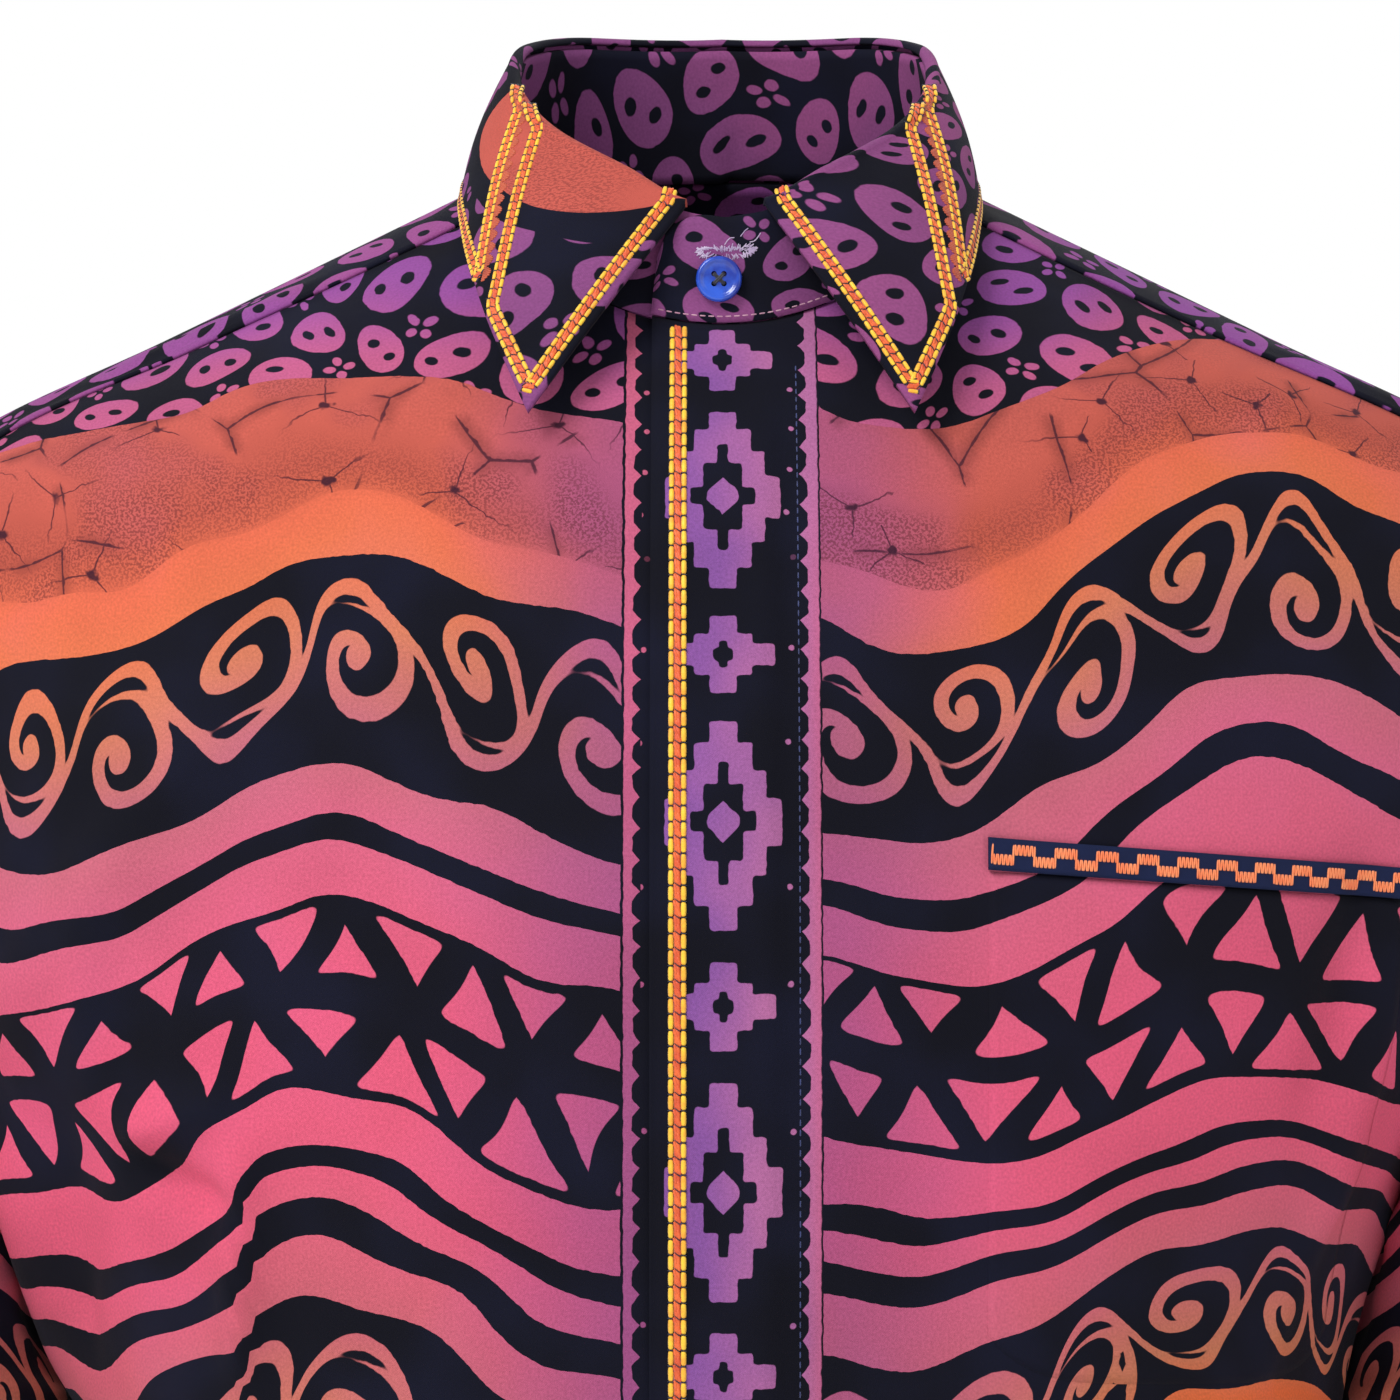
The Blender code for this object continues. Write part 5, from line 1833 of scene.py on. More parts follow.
class Back(BodyPanel):
    """The back, from the left side seam to the right one and from the hem to the yoke."""

    split = BACK_SPLIT
    seam_turn = math.pi / 2 + SEAM / 2 / FOLD_RADIUS

    def row(self, s: Array, z: Amount) -> Array:
        """The turns from side seam to side seam, the same at each height."""
        return mix(self.seam_turn, TURN - self.seam_turn, s)

    def top(self, s: Array) -> Spots:
        """The yoke's seam."""
        start, z = armhole_place(back_corner(), 1)
        return mix(start, TURN - start, s), np.full_like(s, z - SEAM)

    def first_edge(self, s: Array) -> Spots:
        """The left armhole."""
        turn, z = armhole_place(s * back_corner(), 1)
        return np.maximum(turn, self.seam_turn), z - SEAM * s

    def last_edge(self, s: Array) -> Spots:
        """The right armhole."""
        turn, z = self.first_edge(s)
        return TURN - turn, z


class Yoke(Panel):
    """The shoulder yoke, from the neck outwards to the fronts, the armholes and the back."""

    def over_shoulder(self, f: Array) -> Spots:
        """The armhole from the front's corner over the shoulder to the back's.

        Args:
            f: From 0 at the front to 1 at the back.

        Returns:
            The turns and heights.
        """
        along = YOKE_FRONT_ANGLE + f * (TURN - YOKE_FRONT_ANGLE - back_corner())
        front = along <= math.pi
        angle = np.where(front, along, TURN - along)
        return armhole_place(angle, np.where(front, -1.0, 1.0))

    def outer(self, s: Array) -> Spots:
        """The yoke's outer border.

        Args:
            s: From 0 to 1 along the line.

        Returns:
            The turns and heights.
        """
        near = self.over_shoulder(np.minimum(s / YOKE_ARM_SHARE, 1.0))
        far = self.over_shoulder(np.minimum((1 - s) / YOKE_ARM_SHARE, 1.0))
        start = self.over_shoulder(np.ones_like(s))
        f = (s - YOKE_ARM_SHARE) / (1 - 2 * YOKE_ARM_SHARE)
        turn = mix(start[0], TURN - start[0], f)
        first, last = s < YOKE_ARM_SHARE, s > 1 - YOKE_ARM_SHARE
        turn = np.where(first, near[0], np.where(last, TURN - far[0], turn))
        return turn, np.where(first, near[1], np.where(last, far[1], start[1]))

    def outside(self, u: Array, v: Array) -> Array:
        """The yoke's outer face.

        Args:
            u: From 0 to 1 across.
            v: From 0 to 1 up.

        Returns:
            The points.
        """
        turn, z = neck_place(mix(YOKE_NECK_ANGLE, TURN - YOKE_NECK_ANGLE, u))
        turn, z = between((turn % TURN, z), self.outer(u), v)
        points = TORSO.point(turn, z)
        points[..., 1] += SEAM * ((1 - smooth(u, 0.0, 0.04)) + smooth(u, 0.96, 1.0))
        return points

    def flat(self, u: Array, v: Array, points: Array, rows: Array, columns: Array) -> Array:
        """The cloth's own coordinates, by the lengths of its surface from the middle.

        Args:
            u: From 0 to 1 across.
            v: From 0 to 1 up.
            points: The outer face's points.
            rows: Each point's row.
            columns: Each point's column.

        Returns:
            The coordinates.
        """
        net = np.zeros((self.rows + 1, self.columns + 1, 3))
        net[rows, columns] = points
        x, y = net[..., 0], net[..., 1] - MID_Y
        halves, heights = [row[1] for row in BODY.rows[:8]], [row[0] for row in BODY.rows[:8]]
        fall = np.maximum(np.interp(np.abs(x), halves, heights) - net[..., 2], 0)
        cloth = np.stack([x * 1.12, np.copysign(np.hypot(y, fall) * 1.08, y)], axis=-1)
        return settle(cloth, net, SETTLE_ROUNDS)[rows, columns]


def cuff_point(side: int, turn: Array, z: Array) -> Array:
    """A place on a cuff's outside: turn 0 is its outer side and pi/2 its back."""
    x, y = CUFF_MID[0] + CUFF_HALF_WIDTH * np.cos(turn), CUFF_MID[1] + CUFF_HALF_DEPTH * np.sin(turn)
    return stack(side * x, y, z)


class Sleeve(Panel):
    """One sleeve, a tube from the armhole to the cuff that hangs beside the body."""

    def ring(self, turn: Array, along: Array) -> Array:
        """A place on the hanging tube: turn 0 is its outer side, -pi/2 its front and pi the underarm.

        Args:
            turn: The turn round the sleeve.
            along: From 0 at the armhole to 1 at the cuff.

        Returns:
            The points.
        """
        inner_z = SLEEVE.at("inner_z", along)
        inner_x = BODY.at("left" if self.side > 0 else "right", inner_z) + SLEEVE.at("clear", along)
        outer_x, outer_z = SLEEVE.at("outer_x", along), SLEEVE.at("outer_z", along)
        p = SLEEVE_SQUARE
        reach = (np.abs(np.sin(turn)) ** p + np.abs(np.cos(turn)) ** p) ** (-1 / p)
        way = np.cos(turn) * reach
        x = (inner_x + outer_x) / 2 + (outer_x - inner_x) / 2 * way
        z = (inner_z + outer_z) / 2 + (outer_z - inner_z) / 2 * way
        return stack(x, SLEEVE.at("mid_y", along) + SLEEVE.at("depth", along) * np.sin(turn) * reach, z)

    def armhole_ring(self, turn: Array) -> Array:
        """The armhole seam under the sleeve's edge, at the same turns.

        Args:
            turn: The turn round the sleeve.

        Returns:
            The points.
        """
        face = np.where(np.sin(turn) < 0, -1.0, 1.0)
        angle = math.pi - np.abs(near_turn(turn, 0.0))
        body_turn, z = armhole_place(angle, face)
        points = TORSO.point(self.side * body_turn, z)
        points[..., 0] *= self.side
        return points

    def clear_of_body(self, points: Array, clear: Array) -> Array:
        """The x, seen on the wearer's left, that keeps the sleeve off the body's side.

        Args:
            points: Points of the sleeve.
            clear: How far to stay off.

        Returns:
            The least x at each point.
        """
        z, y = points[..., 2], points[..., 1]
        half, depth, p = TORSO.size(self.side, y - MID_Y, z)
        share = np.minimum(np.abs(y - MID_Y) / depth, 0.99)
        turn = np.arctan2(1.0, (MID_Y - y) / depth)
        fold = np.maximum(TORSO.fold(self.side * turn, z), 0.0)
        return half * (1 - share**p) ** (1 / p) + fold + clear

    def plain(self, turn: Array, along: Array) -> Array:
        """The sleeve's outside without folds, seen on the wearer's left.

        Args:
            turn: The turn round the sleeve.
            along: From 0 at the armhole to 1 at the cuff.

        Returns:
            The points.
        """
        ring = self.ring(turn, along)
        near = 1 - smooth(along, 0.0, 0.22)
        seam = self.armhole_ring(turn) - self.ring(turn, np.zeros_like(turn))
        points = ring + seam * near[..., None]
        points[..., 0] += SLEEVE_SEAM * (1 - smooth(along, 0.0, 0.1))
        under = smooth(np.abs(turn), 1.5, 2.0)
        least = self.clear_of_body(points, SLEEVE.at("clear", along))
        x = points[..., 0]
        points[..., 0] = np.where(x < least, mix(x, least, under), x)
        cuff = cuff_point(1, turn, points[..., 2])
        return mix(points, cuff, smooth(along, *CUFF_BLEND)[..., None])

    def outside(self, u: Array, v: Array) -> Array:
        """The sleeve's outer face.

        Args:
            u: From 0 to 1 across.
            v: From 0 to 1 up.

        Returns:
            The points.
        """
        turn = (u - 0.5) * TURN
        along = v**SLEEVE_SPREAD
        points = self.plain(turn, along)
        ahead = self.plain(turn + 0.02, along) - self.plain(turn - 0.02, along)
        down = points - self.plain(turn, np.maximum(along - 0.01, 0.0))
        calm = smooth(along, 0.05, 0.14) * (1 - smooth(along, 0.92, 1.0))
        limp = folds_at(SLEEVE_FOLDS, turn, along, SLEEVE_RADIUS, SLEEVE_RUN, False)
        limp += folds_at(SLEEVE_CREASES, turn, along, SLEEVE_RADIUS, SLEEVE_RUN, False)
        limp += SLEEVE_WAVE * np.sin(3 * turn + 40 * along) * np.sin(2 * turn - 57 * along)
        points = points + unit(np.cross(down, ahead)) * (limp * calm)[..., None]
        points[..., 0] *= self.side
        return points

    def flat(self, u: Array, v: Array, points: Array, rows: Array, columns: Array) -> Array:
        """The cloth's own coordinates: round the sleeve from its outer side, and down its outer line.

        Args:
            u: From 0 to 1 across.
            v: From 0 to 1 up.
            points: The outer face's points.
            rows: Each point's row.
            columns: Each point's column.

        Returns:
            The coordinates.
        """
        lengths = grid_lengths(points, rows, columns)
        line = self.ring(np.zeros(400), np.linspace(0, 1, 400))
        run = np.concatenate([[0], np.cumsum(np.linalg.norm(np.diff(line, axis=0), axis=-1))])
        down = np.interp(-points[:, 2], -line[:, 2], run) - np.maximum(points[:, 2] - line[0, 2], 0.0)
        lengths[:, 1] = -down
        return lengths


class Cuff(Panel):
    """A cuff: a band whose ends lap on the sleeve's outer back, with a button on the lap."""

    def outside(self, u: Array, v: Array) -> Array:
        """The cuff's outer face.

        Args:
            u: From 0 to 1 across.
            v: From 0 to 1 up.

        Returns:
            The points.
        """
        half_lap = CUFF_LAP / 2 / CUFF_HALF_DEPTH
        along = u * (TURN + 2 * half_lap)
        turn = CUFF_LAP_TURN - half_lap + along
        lift = (CLOTH + REST) * (1 - smooth(along, 2 * half_lap + 0.1, 2 * half_lap + 0.8))
        points = cuff_point(self.side, turn, CUFF_TOP_Z - CUFF_HEIGHT * (1 - v))
        return points + stack(self.side * np.cos(turn), np.sin(turn), 0.0) * lift[..., None]

    def button_place(self) -> tuple[Vector, Vector]:
        """Where the cuff's button sits and which way it faces.

        Returns:
            The point and the direction.
        """
        turn = CUFF_LAP_TURN
        out = Vector((self.side * math.cos(turn) / CUFF_HALF_WIDTH, math.sin(turn) / CUFF_HALF_DEPTH, 0))
        out.normalize()
        point = Vector(cuff_point(self.side, turn, CUFF_TOP_Z - CUFF_BUTTON_DROP))
        return point + out * (CLOTH + REST + BUTTON_REST), out


class CollarStand(Panel):
    """The collar band: its wearer's left end laps over the right end at the centre front."""

    def point(self, angle: Array, v: Array) -> Array:
        """A place on the band: angle round the neck, v from its seam to its top.

        Args:
            angle: The angle round the neck.
            v: From 0 to 1 up.

        Returns:
            The points.
        """
        turn, z = neck_place(angle)
        base = TORSO.plain(turn, z)
        under = np.where(angle < math.pi, lap_lift(base[..., 0], z), 0.0)
        lift = (COLLAR_WALL + STAND_GAP) * (1 - smooth(angle, *STAND_LAP_FADE))
        out = stack(np.sin(angle), -np.cos(angle), 0.0)
        bend = np.abs(near_turn(angle, 0.0))
        top = stack(
            FOLD_MID_X + FOLD_HALF_WIDTH * np.sin(angle),
            FOLD_MID_Y - FOLD_HALF_DEPTH * np.cos(angle),
            FOLD.at("z", np.degrees(bend)) - LEAF_ROLL,
        )
        base = base + TORSO.normal(turn, z) * under[..., None] + out * np.maximum(lift - under, 0.0)[..., None]
        base[..., 2] += SEAM
        return mix(base, top + out * lift[..., None], np.asarray(v)[..., None])

    def end_cut(self, angle: Array) -> Array:
        """The share of the band's height that is left near its rounded end on top."""
        f = np.clip(1 - (angle + STAND_LAP_TURN) * NECK_HALF_WIDTH / STAND_END_RADIUS, 0.0, 1.0)
        return 1 - STAND_END_DROP * (1 - np.sqrt(np.maximum(1 - f * f, 0.0)))

    def around(self, x: Array, share: Array) -> Array:
        """The band's outside by metres round it and the share of its height, for its stitches."""
        return self.point(x / NECK_HALF_WIDTH, share)

    def outside(self, u: Array, v: Array) -> Array:
        """The band's outer face.

        Args:
            u: From 0 to 1 across.
            v: From 0 to 1 up.

        Returns:
            The points.
        """
        near = mix(-STAND_LAP_TURN, STAND_FINE_ANGLE, u / STAND_FINE_SHARE)
        far = mix(STAND_FINE_ANGLE, STAND_UNDER_END, (u - STAND_FINE_SHARE) / (1 - STAND_FINE_SHARE))
        angle = np.where(u < STAND_FINE_SHARE, near, far)
        return self.point(angle, v * self.end_cut(angle))

    def button_place(self) -> tuple[Vector, Vector]:
        """Where the band's button sits and which way it faces.

        Returns:
            The point and the direction.
        """
        angle = np.array(math.asin(STAND_BUTTON_X / NECK_HALF_WIDTH))
        low, high = Vector(self.point(angle, 0.0)), Vector(self.point(angle, 1.0))
        point = low.lerp(high, (STAND_BUTTON_Z - low.z) / (high.z - low.z))
        out = (high - low).cross(Vector((-1, 0, 0))).normalized()
        out = -out if out.y > 0 else out
        return point + out * BUTTON_REST, out


@dataclass(kw_only=True)
class CollarLeaf(Panel):
    """The collar leaf: it starts on the band's top, rolls over it and hangs down to its outer edge."""

    stand: CollarStand
    roll_rows: int = 12

    def fall(self, side: Amount, near: Array, f: Array) -> Array:
        """A place on the hanging part: near from the leading edge to the back, f from the fold down.

        Args:
            side: 1 on the wearer's left and -1 on the right.
            near: From 0 at the leading edge to 1 at the back.
            f: From 0 at the fold to 1 at the edge, and -1 to 0 on the roll.

        Returns:
            The points.
        """
        angle = np.radians(LEAF.at("fold_angle", near))
        out = stack(side * np.sin(angle), -np.cos(angle), 0.0)
        top = self.stand.point(np.where(np.asarray(side) > 0, angle, TURN - angle), np.ones_like(angle))
        roll = (STAND_GAP + 2 * COLLAR_WALL) / 2
        crest = top + out * (roll - COLLAR_WALL) + np.array((0, 0, STAND_GAP + LEAF_CREST))
        edge = stack(side * LEAF.at("x", near), LEAF.at("y", near), LEAF.at("z", near))
        bend = math.pi * (1 + np.minimum(f, 0.0))
        turned = stack(out[..., 0] * -np.cos(bend), out[..., 1] * -np.cos(bend), np.sin(bend))
        start = crest + turned * roll
        down = np.maximum(f, 0.0)
        bulge = LEAF_BULGE * np.sin(math.pi * np.minimum(down, 1.0))
        return mix(start, edge, down[..., None]) + out * bulge[..., None]

    def outside(self, u: Array, v: Array) -> Array:
        """The leaf's outer face.

        Args:
            u: From 0 to 1 across.
            v: From 0 to 1 up.

        Returns:
            The points.
        """
        share = self.roll_rows / self.rows
        f = np.where(v < share, v / share - 1, (v - share) / (1 - share))
        side = np.where(u < 0.5, 1.0, -1.0)
        near = np.where(u < 0.5, u * 2, (1 - u) * 2)
        return self.fall(side, near, f)

    def flat(self, u: Array, v: Array, points: Array, rows: Array, columns: Array) -> Array:
        """The cloth's own coordinates, from the fold down."""
        return grid_lengths(points, rows, columns) * (1, -1)


@dataclass
class CollarTrim:
    """Two chain bands on each half of the collar leaf, and scallops of satin stitch between them."""

    leaf: CollarLeaf
    threads: Threads

    def build(self) -> list[Thing]:
        """Sew the collar's trims.

        Returns:
            The trims.
        """
        bands = ChainBand("collar_chain", "batik_collar", self.threads, 0.0030, 0.0041, 0.00125)
        satin = Thread("collar_scallops")
        for side in (1.0, -1.0):

            def surface(near: Array, f: Array, side: float = side) -> Array:
                """The leaf's outside on one half."""
                return self.leaf.fall(np.full_like(near, side), near, f)

            face = Face(surface, NECK_CORE, NECK_STEP)
            bands.sew(face, [(0.032, -0.60), (0.032, 0.945), (0.215, 0.930), (0.385, -0.55)])
            bands.sew(face, [(1.0, 0.945), (0.285, 0.945), (0.462, -0.55)])
            for i, spot in enumerate(face.line([(0.262, 0.90), (0.428, -0.40)], 0.00062)):
                reach = 0.0013 + 0.0019 * abs(math.sin(i * math.pi / 7))
                satin.stitch(*spot, (reach, 0.00070, 0.0006), side * (reach / 2 - 0.0014), math.pi / 2)
        return [*bands.build(), satin.build(self.threads["rust"], "batik_collar")]


@dataclass
class Buttonhole:
    """The collar band's buttonhole: worn, fuzzy stitches round a slit, with two loose ends."""

    stand: CollarStand
    middle: tuple = (0.0008, 0.655)
    half_length: float = 0.0080
    half_height: float = 0.0017
    stand_height: float = 0.038

    def build(self, thread: Material) -> Thing:
        """Sew the buttonhole.

        Args:
            thread: The thread's material.

        Returns:
            The piece.
        """
        chance = random.Random(11)
        sewn = Thread("buttonhole")
        face = Face(self.stand.around, NECK_CORE, NECK_STEP)
        angles = np.linspace(0, TURN, 120, endpoint=False)
        x = self.middle[0] + self.half_length * np.cos(angles)
        share = self.middle[1] + self.half_height / self.stand_height * np.sin(angles)
        for point, way, angle in zip(*face.look(x, share), angles):
            size = (chance.uniform(0.0011, 0.0021), chance.uniform(0.00022, 0.00042), 0.00045)
            along = unit(np.array((math.cos(angle), 0.0, math.sin(angle))))
            shift = chance.uniform(-0.0004, 0.0005)
            sewn.stitch(point, along, way, size, shift, chance.uniform(-0.7, 0.7), shift)
        for x, share, way in ((0.0050, 0.80, 0.9), (0.0078, 0.735, -0.5), (0.0030, 0.79, 2.4)):
            route = [
                (x + 0.0009 * i * math.cos(way), share + 0.020 * i * math.sin(way + i * 0.35)) for i in range(5)
            ]
            sewn.line(face.line(route, 0.0007), (0.0010, 0.00028, 0.0003))
        return sewn.build(thread, "batik_stand")


class PocketPart(BodyPanel):
    """A part of the patch pocket on the left front."""

    def spot(self, u: Array, below: Array) -> Spots:
        """The turn and height of a place below the mouth's line.

        Args:
            u: From 0 to 1 along the mouth.
            below: The metres below its line.

        Returns:
            The turns and heights.
        """
        z = mix(POCKET_MOUTH_Z[0], POCKET_MOUTH_Z[1], u) - below
        run = mix(POCKET_RUN[0], POCKET_RUN[1], u)
        low, high = np.zeros_like(run), np.full_like(run, 1.5)
        for _ in range(TURN_HALVINGS):
            turn = (low + high) / 2
            short = look_up(CLOTH_MAP.run, CLOTH_MAP.turns, CLOTH_MAP.heights, turn, z) < run
            low, high = np.where(short, turn, low), np.where(short, high, turn)
        return turn, z


@dataclass
class Bag(PocketPart):
    """The patch pocket, which sinks flush with the front at its seams."""

    seam_columns: float = 3.0
    seam_lift: float = 0.00004
    air: float = 0.0001

    def place(self, u: Array, v: Array) -> Spots:
        """The turn and height, with the lower corners rounded."""
        corner = POCKET_CORNER * np.abs(2 * u - 1) ** 6
        return self.spot(u, (POCKET_HEIGHT - corner) * (1 - v))

    def outside(self, u: Array, v: Array) -> Array:
        """The pocket's outer face."""
        inward = smooth(np.minimum(np.minimum(u, 1 - u), v) * self.columns / self.seam_columns, 0, 1)
        return TORSO.point(*self.place(u, v), mix(self.seam_lift, self.wall + self.air, inward))


class Welt(PocketPart):
    """The welt along the pocket's mouth."""

    def place(self, u: Array, v: Array) -> Spots:
        """The turn and height of places on the welt."""
        return self.spot(u, -SEAM - WELT_HEIGHT * v)

    def lift(self, turn: Array, z: Array) -> Amount:
        """How far the welt stands off the body's surface."""
        return REST + POCKET_WALL

    def around(self, run: Array, height: Array) -> Array:
        """Points on the welt's outside, by metres along it and up it from its middle."""
        return self.outside(run / (POCKET_RUN[1] - POCKET_RUN[0]) + 0.5, height / WELT_HEIGHT + 0.5)

    def sew(self, thread: Material) -> Thing:
        """Sew the square wave of satin stitch along the welt.

        Args:
            thread: The thread's material.

        Returns:
            The piece.
        """
        sewn = Thread("welt_stitch")
        half, block = (POCKET_RUN[1] - POCKET_RUN[0]) / 2 - 0.0006, 10
        upright, short = (0.0054, 0.00062, 0.0007), (0.0029, 0.00062, 0.0007)
        for i, spot in enumerate(Face(self.around, CORE, 0.0004).line([(-half, 0.0), (half, 0.0)], 0.00056)):
            if i % block:
                level, lean = (1 if (i // block) % 2 else -1), (0.10 if i % 2 else -0.10)
                sewn.stitch(*spot, short, level * 0.00135, math.pi / 2 + lean)
            else:
                sewn.stitch(*spot, upright, 0.0, math.pi / 2)
        return sewn.build(thread, self.slot)


@dataclass
class RoundButton:
    """A round four-holed button with a raised rim, sewn on with crossed thread."""

    name: str
    width: float
    steps: int = 48
    profile: tuple = (
        (0, 0), (0.70, 0), (0.93, 0.14), (1, 0.40), (0.985, 0.72), (0.93, 0.93), (0.86, 1.0), (0.79, 0.95),
        (0.72, 0.80), (0.64, 0.73), (0.40, 0.69), (0, 0.68),
    )

    def build(self, place: tuple, finish: Material, thread: Material, node: str) -> list:
        """Make the button and its thread.

        Args:
            place: The middle of its back and the way that it faces.
            finish: The plastic's material.
            thread: The thread's material.
            node: The solid it stands for.

        Returns:
            The button and the thread.
        """
        point, out = place
        maker = bmesh.new()
        size = self.width / 2
        verts = [maker.verts.new((r * size, 0, h * BUTTON_THICK)) for r, h in self.profile]
        edges = [maker.edges.new(pair) for pair in zip(verts, verts[1:])]
        bmesh.ops.spin(maker, geom=verts + edges, axis=(0, 0, 1), cent=(0, 0, 0), steps=self.steps,
                       angle=TURN, use_merge=True)
        bmesh.ops.remove_doubles(maker, verts=maker.verts[:], dist=1e-7)
        bmesh.ops.recalc_face_normals(maker, faces=maker.faces[:])
        frame = Matrix.Translation(point) @ out.to_track_quat("Z", "Y").to_matrix().to_4x4()
        button = new_object(self.name, maker, finish)
        self.drill(button)
        button.data.transform(frame)
        finish_piece(button, (node,), "button_blue")
        sewn = Thread(self.name + "_thread")
        along, across = frame.to_3x3() @ Vector((1, 0, 0)), frame.to_3x3() @ Vector((0, 1, 0))
        top = point + out * BUTTON_THICK * 0.74
        for way, side in ((along + across, 1), (along - across, -1)):
            for shift in (-0.00022, 0.00022):
                sewn.stitch(top + out * 0.0001 * side, way.normalized(), out, (0.0044, 0.00062, 0.0007), shift)
        return [button, sewn.build(thread, "button_blue")]

    def drill(self, button: Thing) -> None:
        """Cut the button's four holes.

        Args:
            button: The button.
        """
        maker = bmesh.new()
        away = BUTTON_HOLE_PITCH / math.sqrt(2)
        for i in range(4):
            turn = math.pi / 4 + i * math.pi / 2
            where = Matrix.Translation((away * math.cos(turn), away * math.sin(turn), BUTTON_THICK / 2))
            bmesh.ops.create_cone(maker, cap_ends=True, segments=16, radius1=BUTTON_HOLE / 2,
                                  radius2=BUTTON_HOLE / 2, depth=BUTTON_THICK * 3, matrix=where)
        pegs = new_object(self.name + "_pegs", maker, button.data.materials[0])
        cut = button.modifiers.new("holes", "BOOLEAN")
        cut.operation = "DIFFERENCE"
        cut.object = pegs
        shown = button.evaluated_get(bpy.context.evaluated_depsgraph_get())
        drilled = bpy.data.meshes.new_from_object(shown)
        button.modifiers.clear()
        button.data = drilled
        drilled.set_sharp_from_angle(angle=math.radians(40))
        bpy.data.objects.remove(pegs)


# ---- The studio ----


@dataclass
class Studio:
    """The pale floor, the soft lights and the camera."""

    eye: tuple = (-0.0057, -1.025, -0.1456)
    focal: float = 3518 * 36 / 1400
    floor_z: float = -0.83
    sky: float = 0.50
    aim: tuple = (0.0, 0.0, -0.25)

    def build(self) -> None:
        """Set up the studio."""
        scene = bpy.context.scene
        scene.view_settings.view_transform = "Standard"
        camera = bpy.data.cameras.new("view")
        camera.lens, camera.sensor_width, camera.clip_start = self.focal, 36, 0.05
        scene.camera = put("view", camera, self.eye, (math.pi / 2, 0, 0))
        world = bpy.data.worlds.new("studio")
        world.use_nodes = True
        back = world.node_tree.nodes["Background"]
        back.inputs[0].default_value = (1.0, 1.0, 1.0, 1.0)
        seen = world.node_tree.nodes.new("ShaderNodeLightPath").outputs["Is Camera Ray"]
        level = world.node_tree.nodes.new("ShaderNodeMapRange")
        level.inputs["To Min"].default_value = self.sky
        world.node_tree.links.new(seen, level.inputs["Value"])
        world.node_tree.links.new(level.outputs[0], back.inputs[1])
        scene.world = world
        self.light("key", (-1.20, -1.48, 1.52), 1.1, 47.0)
        self.light("fill", (1.7, -1.5, 0.6), 1.5, 5.0)
        self.light("rear", (0.3, 1.8, 1.4), 1.6, 16.0)
        maker = bmesh.new()
        bmesh.ops.create_grid(maker, x_segments=2, y_segments=2, size=8.0)
        bmesh.ops.translate(maker, verts=maker.verts[:], vec=(0, 0, self.floor_z))
        new_object("floor", maker, FloorFinish("pale_floor").make())

    def light(self, name: str, place: tuple, size: float, power: float) -> None:
        """Add a soft light that faces the shirt's chest.

        Args:
            name: The name.
            place: Where it stands.
            size: Its width.
            power: Its power in watts.
        """
        lamp = bpy.data.lights.new(name, "AREA")
        lamp.size, lamp.energy = size, power
        put(name, lamp, place, (Vector(self.aim) - Vector(place)).to_track_quat("-Z", "Y").to_euler())


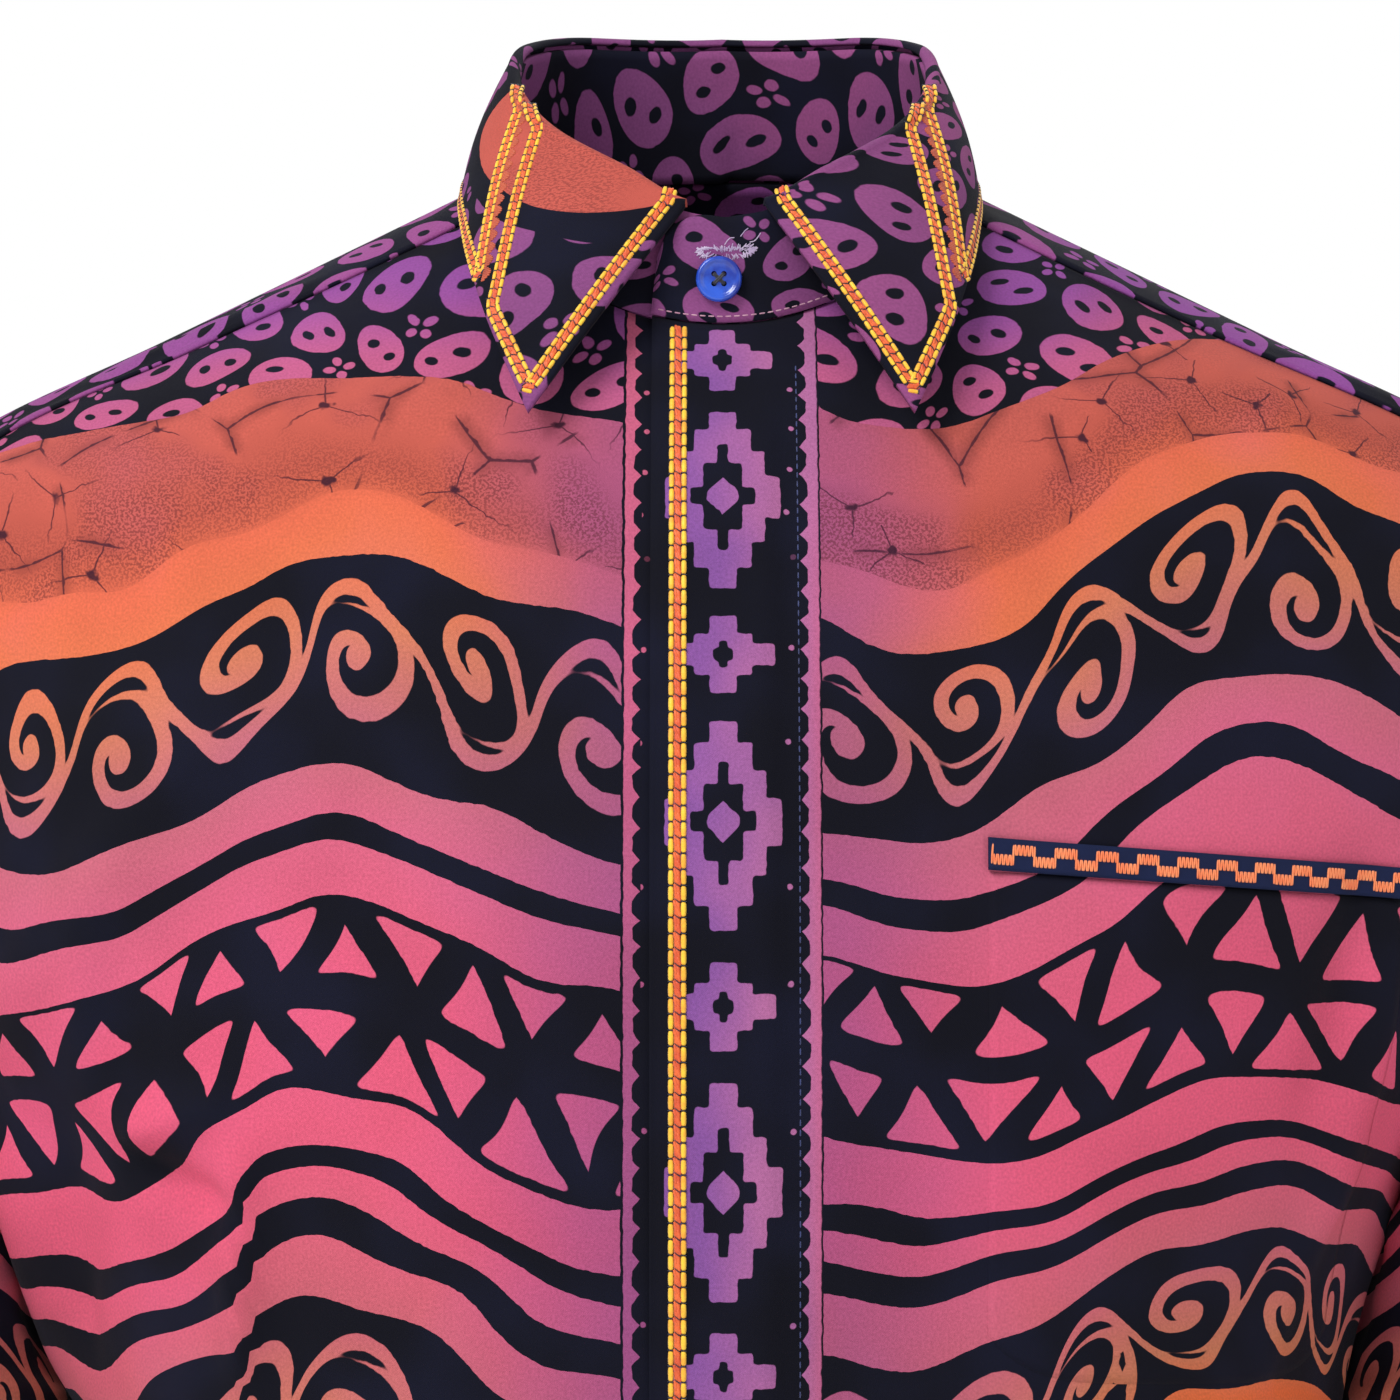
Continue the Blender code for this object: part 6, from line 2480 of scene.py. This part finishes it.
@dataclass
class Shirt:
    """The whole shirt, built panel by panel, each with the trims that are sewn on it."""

    threads: Threads
    plastic: Material

    def build(self) -> None:
        """Build every piece."""
        self.body()
        self.arms()
        self.collar()
        for item in bpy.data.objects:
            if item.name.startswith("fly_button"):
                for item_slot in item.material_slots:
                    item_slot.material = self.plastic

    def body(self) -> None:
        """Build the fronts, the back, the yoke and the pocket, with their trims."""
        left = Front("front_left", "batik_front", 96, 224)
        right = Front("front_right", "batik_front", 96, 224, -1, flip=True)
        back, yoke = Back("back", "batik_back", 130, 190), Yoke("yoke", "batik_yoke", 128, 40)
        bag = Bag("pocket", "batik_front", 48, 48, wall=BAG_WALL)
        welt = Welt("pocket_welt", "navy_welt", 96, 8, wall=POCKET_WALL)
        left_finish = BatikFinish("batik_front_left", Layout.LEFT_FRONT, top=-0.046).make()
        left.build(left_finish)
        right.build(BatikFinish("batik_front_right", Layout.RIGHT_FRONT).make())
        back.build(BatikFinish("batik_back", Layout.BANDS, shift=0.04).make())
        yoke.build(BatikFinish("batik_yoke", Layout.OVALS).make())
        bag.build(left_finish)
        welt.build(TwillFinish("navy_twill").make())
        face = Face(left.surface, CORE)
        chain = ChainBand("placket_chain", "batik_front", self.threads, 0.0041, 0.0048, 0.0015)
        chain_x, edge_x, bottom_z = -0.0115, 0.0200, -0.760
        chain.sew(face, [(chain_x, -0.0450), (chain_x, bottom_z)])
        edge = Topstitch("placket_topstitch", "batik_front", self.threads["blue"], 0.0017, 0.0026, 0.0004)
        left_trims = [*chain.build(), edge.build(face, [[(edge_x, -0.056), (edge_x, bottom_z)]])]

        def hem(turn: Array, rise: Array) -> Array:
            """The body's outside by turn and height over the hem.

            Args:
                turn: The turn round the body.
                rise: The height over the hem.

            Returns:
                The points.
            """
            z = hem_z(turn) + rise
            near = np.abs(near_turn(turn, 0.0)) < 1.5
            lift = np.where(near & (turn > 0), lap_lift(TORSO.plain(turn, z)[..., 0], z), 0.0)
            return TORSO.point(turn, z, lift)

        half, end_gap, rise = math.pi / 2, 0.01, 0.013
        sewn = {}
        for name, slot, start, end in (
            ("left", "batik_front", 0.13, half - end_gap), ("right", "batik_front", -half + end_gap, -0.13),
            ("back", "batik_back", half + end_gap, 3 * half - end_gap),
        ):
            line = Topstitch("hem_topstitch_" + name, slot, self.threads["navy"])
            sewn[name] = line.build(Face(hem, CORE), [[(start, rise), (end, rise)]])
        turn, z = armhole_place(back_corner(), 1)
        seam = Topstitch("yoke_topstitch", "batik_yoke", self.threads["navy"])
        turn, z = turn + 0.02, z + 0.003
        yoke_trim = seam.build(Face(TORSO.point, CORE), [[(turn, z), (TURN - turn, z)]])
        left.declare("hung", ("yoke_cloth",), [*left_trims, sewn["left"]])
        right.declare("hung", ("yoke_cloth",), [sewn["right"]])
        back.declare("hung", ("yoke_cloth",), [sewn["back"]])
        yoke.declare("draped", ("front_left_cloth", "front_right_cloth", "back_cloth"), [yoke_trim])
        bag.declare("laid", ("front_left_cloth",))
        welt.declare("laid", ("front_left_cloth",), [welt.sew(self.threads["peach"])])

    def arms(self) -> None:
        """Build the sleeves and the cuffs."""
        sleeve_finish = BatikFinish("batik_sleeve", Layout.BANDS, top=-0.030, shift=0.09).make()
        cuff_finish = BatikFinish("batik_cuff", Layout.OVALS, oval_period=0.029).make()
        for side, name in ((1, "left"), (-1, "right")):
            sleeve = Sleeve("sleeve_" + name, "batik_sleeve", 88, 150, side, flip=side > 0, closed=True)
            sleeve.build(sleeve_finish)
            sleeve.declare("hung", ("yoke_cloth",))
            cuff = Cuff("cuff_" + name, "batik_cuff", 96, 16, side, flip=side < 0)
            cuff.build(cuff_finish)
            line = Topstitch("cuff_topstitch_" + name, "batik_cuff", self.threads["navy"])
            face = Face(cuff.outside, Vector((side * CUFF_MID[0], CUFF_MID[1], -0.63)))
            sewn = line.build(face, [[(0.005, v), (0.995, v)] for v in (0.05, 0.95)])
            button = RoundButton("cuff_button_" + name + "_blue", CUFF_BUTTON_WIDTH)
            node = "cuff_button_" + name
            pieces = button.build(cuff.button_place(), self.plastic, self.threads["navy"], node)
            cuff.declare("hung", (sleeve.piece.name,), [sewn, *pieces])

    def collar(self) -> None:
        """Build the collar band, its button and the collar leaf with its trims."""
        look = {"oval_period": 0.0315, "hue": DUSTY_PURPLE}
        stand = CollarStand("collar_stand", "batik_stand", 150, 14, wall=COLLAR_WALL)
        leaf = CollarLeaf("collar_leaf", "batik_collar", 200, 42, wall=COLLAR_WALL, flip=True, stand=stand)
        stand.build(BatikFinish("batik_stand", Layout.OVALS, **look).make())
        leaf.build(BatikFinish("batik_collar", Layout.COLLAR, **look).make())
        button = RoundButton("stand_button_blue", BUTTON_WIDTH)
        pieces = button.build(stand.button_place(), self.plastic, self.threads["navy"], "stand_button")
        pieces.append(Buttonhole(stand).build(self.threads["lilac"]))
        seam = Topstitch("stand_topstitch", "batik_stand", self.threads["pink"], 0.0016, 0.0023, 0.0004)
        face = Face(stand.around, NECK_CORE, NECK_STEP)
        pieces.append(seam.build(face, [[(-0.0175, 0.055), (0.030, 0.055)]]))
        stand.declare("folded", ("yoke_cloth",), pieces)
        leaf.declare("folded", (stand.piece.name,), CollarTrim(leaf, self.threads).build())


def main() -> None:
    """Build the shirt's pieces, the studio and the record of sizes."""
    Studio().build()
    threads = {
        name: ThreadFinish(name + "_thread", linear(*light), linear(*dark)).make()
        for name, (light, dark) in THREAD_COLOURS.items()
    }
    Shirt(threads, ButtonFinish("blue_button").make()).build()


if __name__ == "__main__":
    logging.basicConfig(level=logging.INFO, format="%(message)s")
    main()
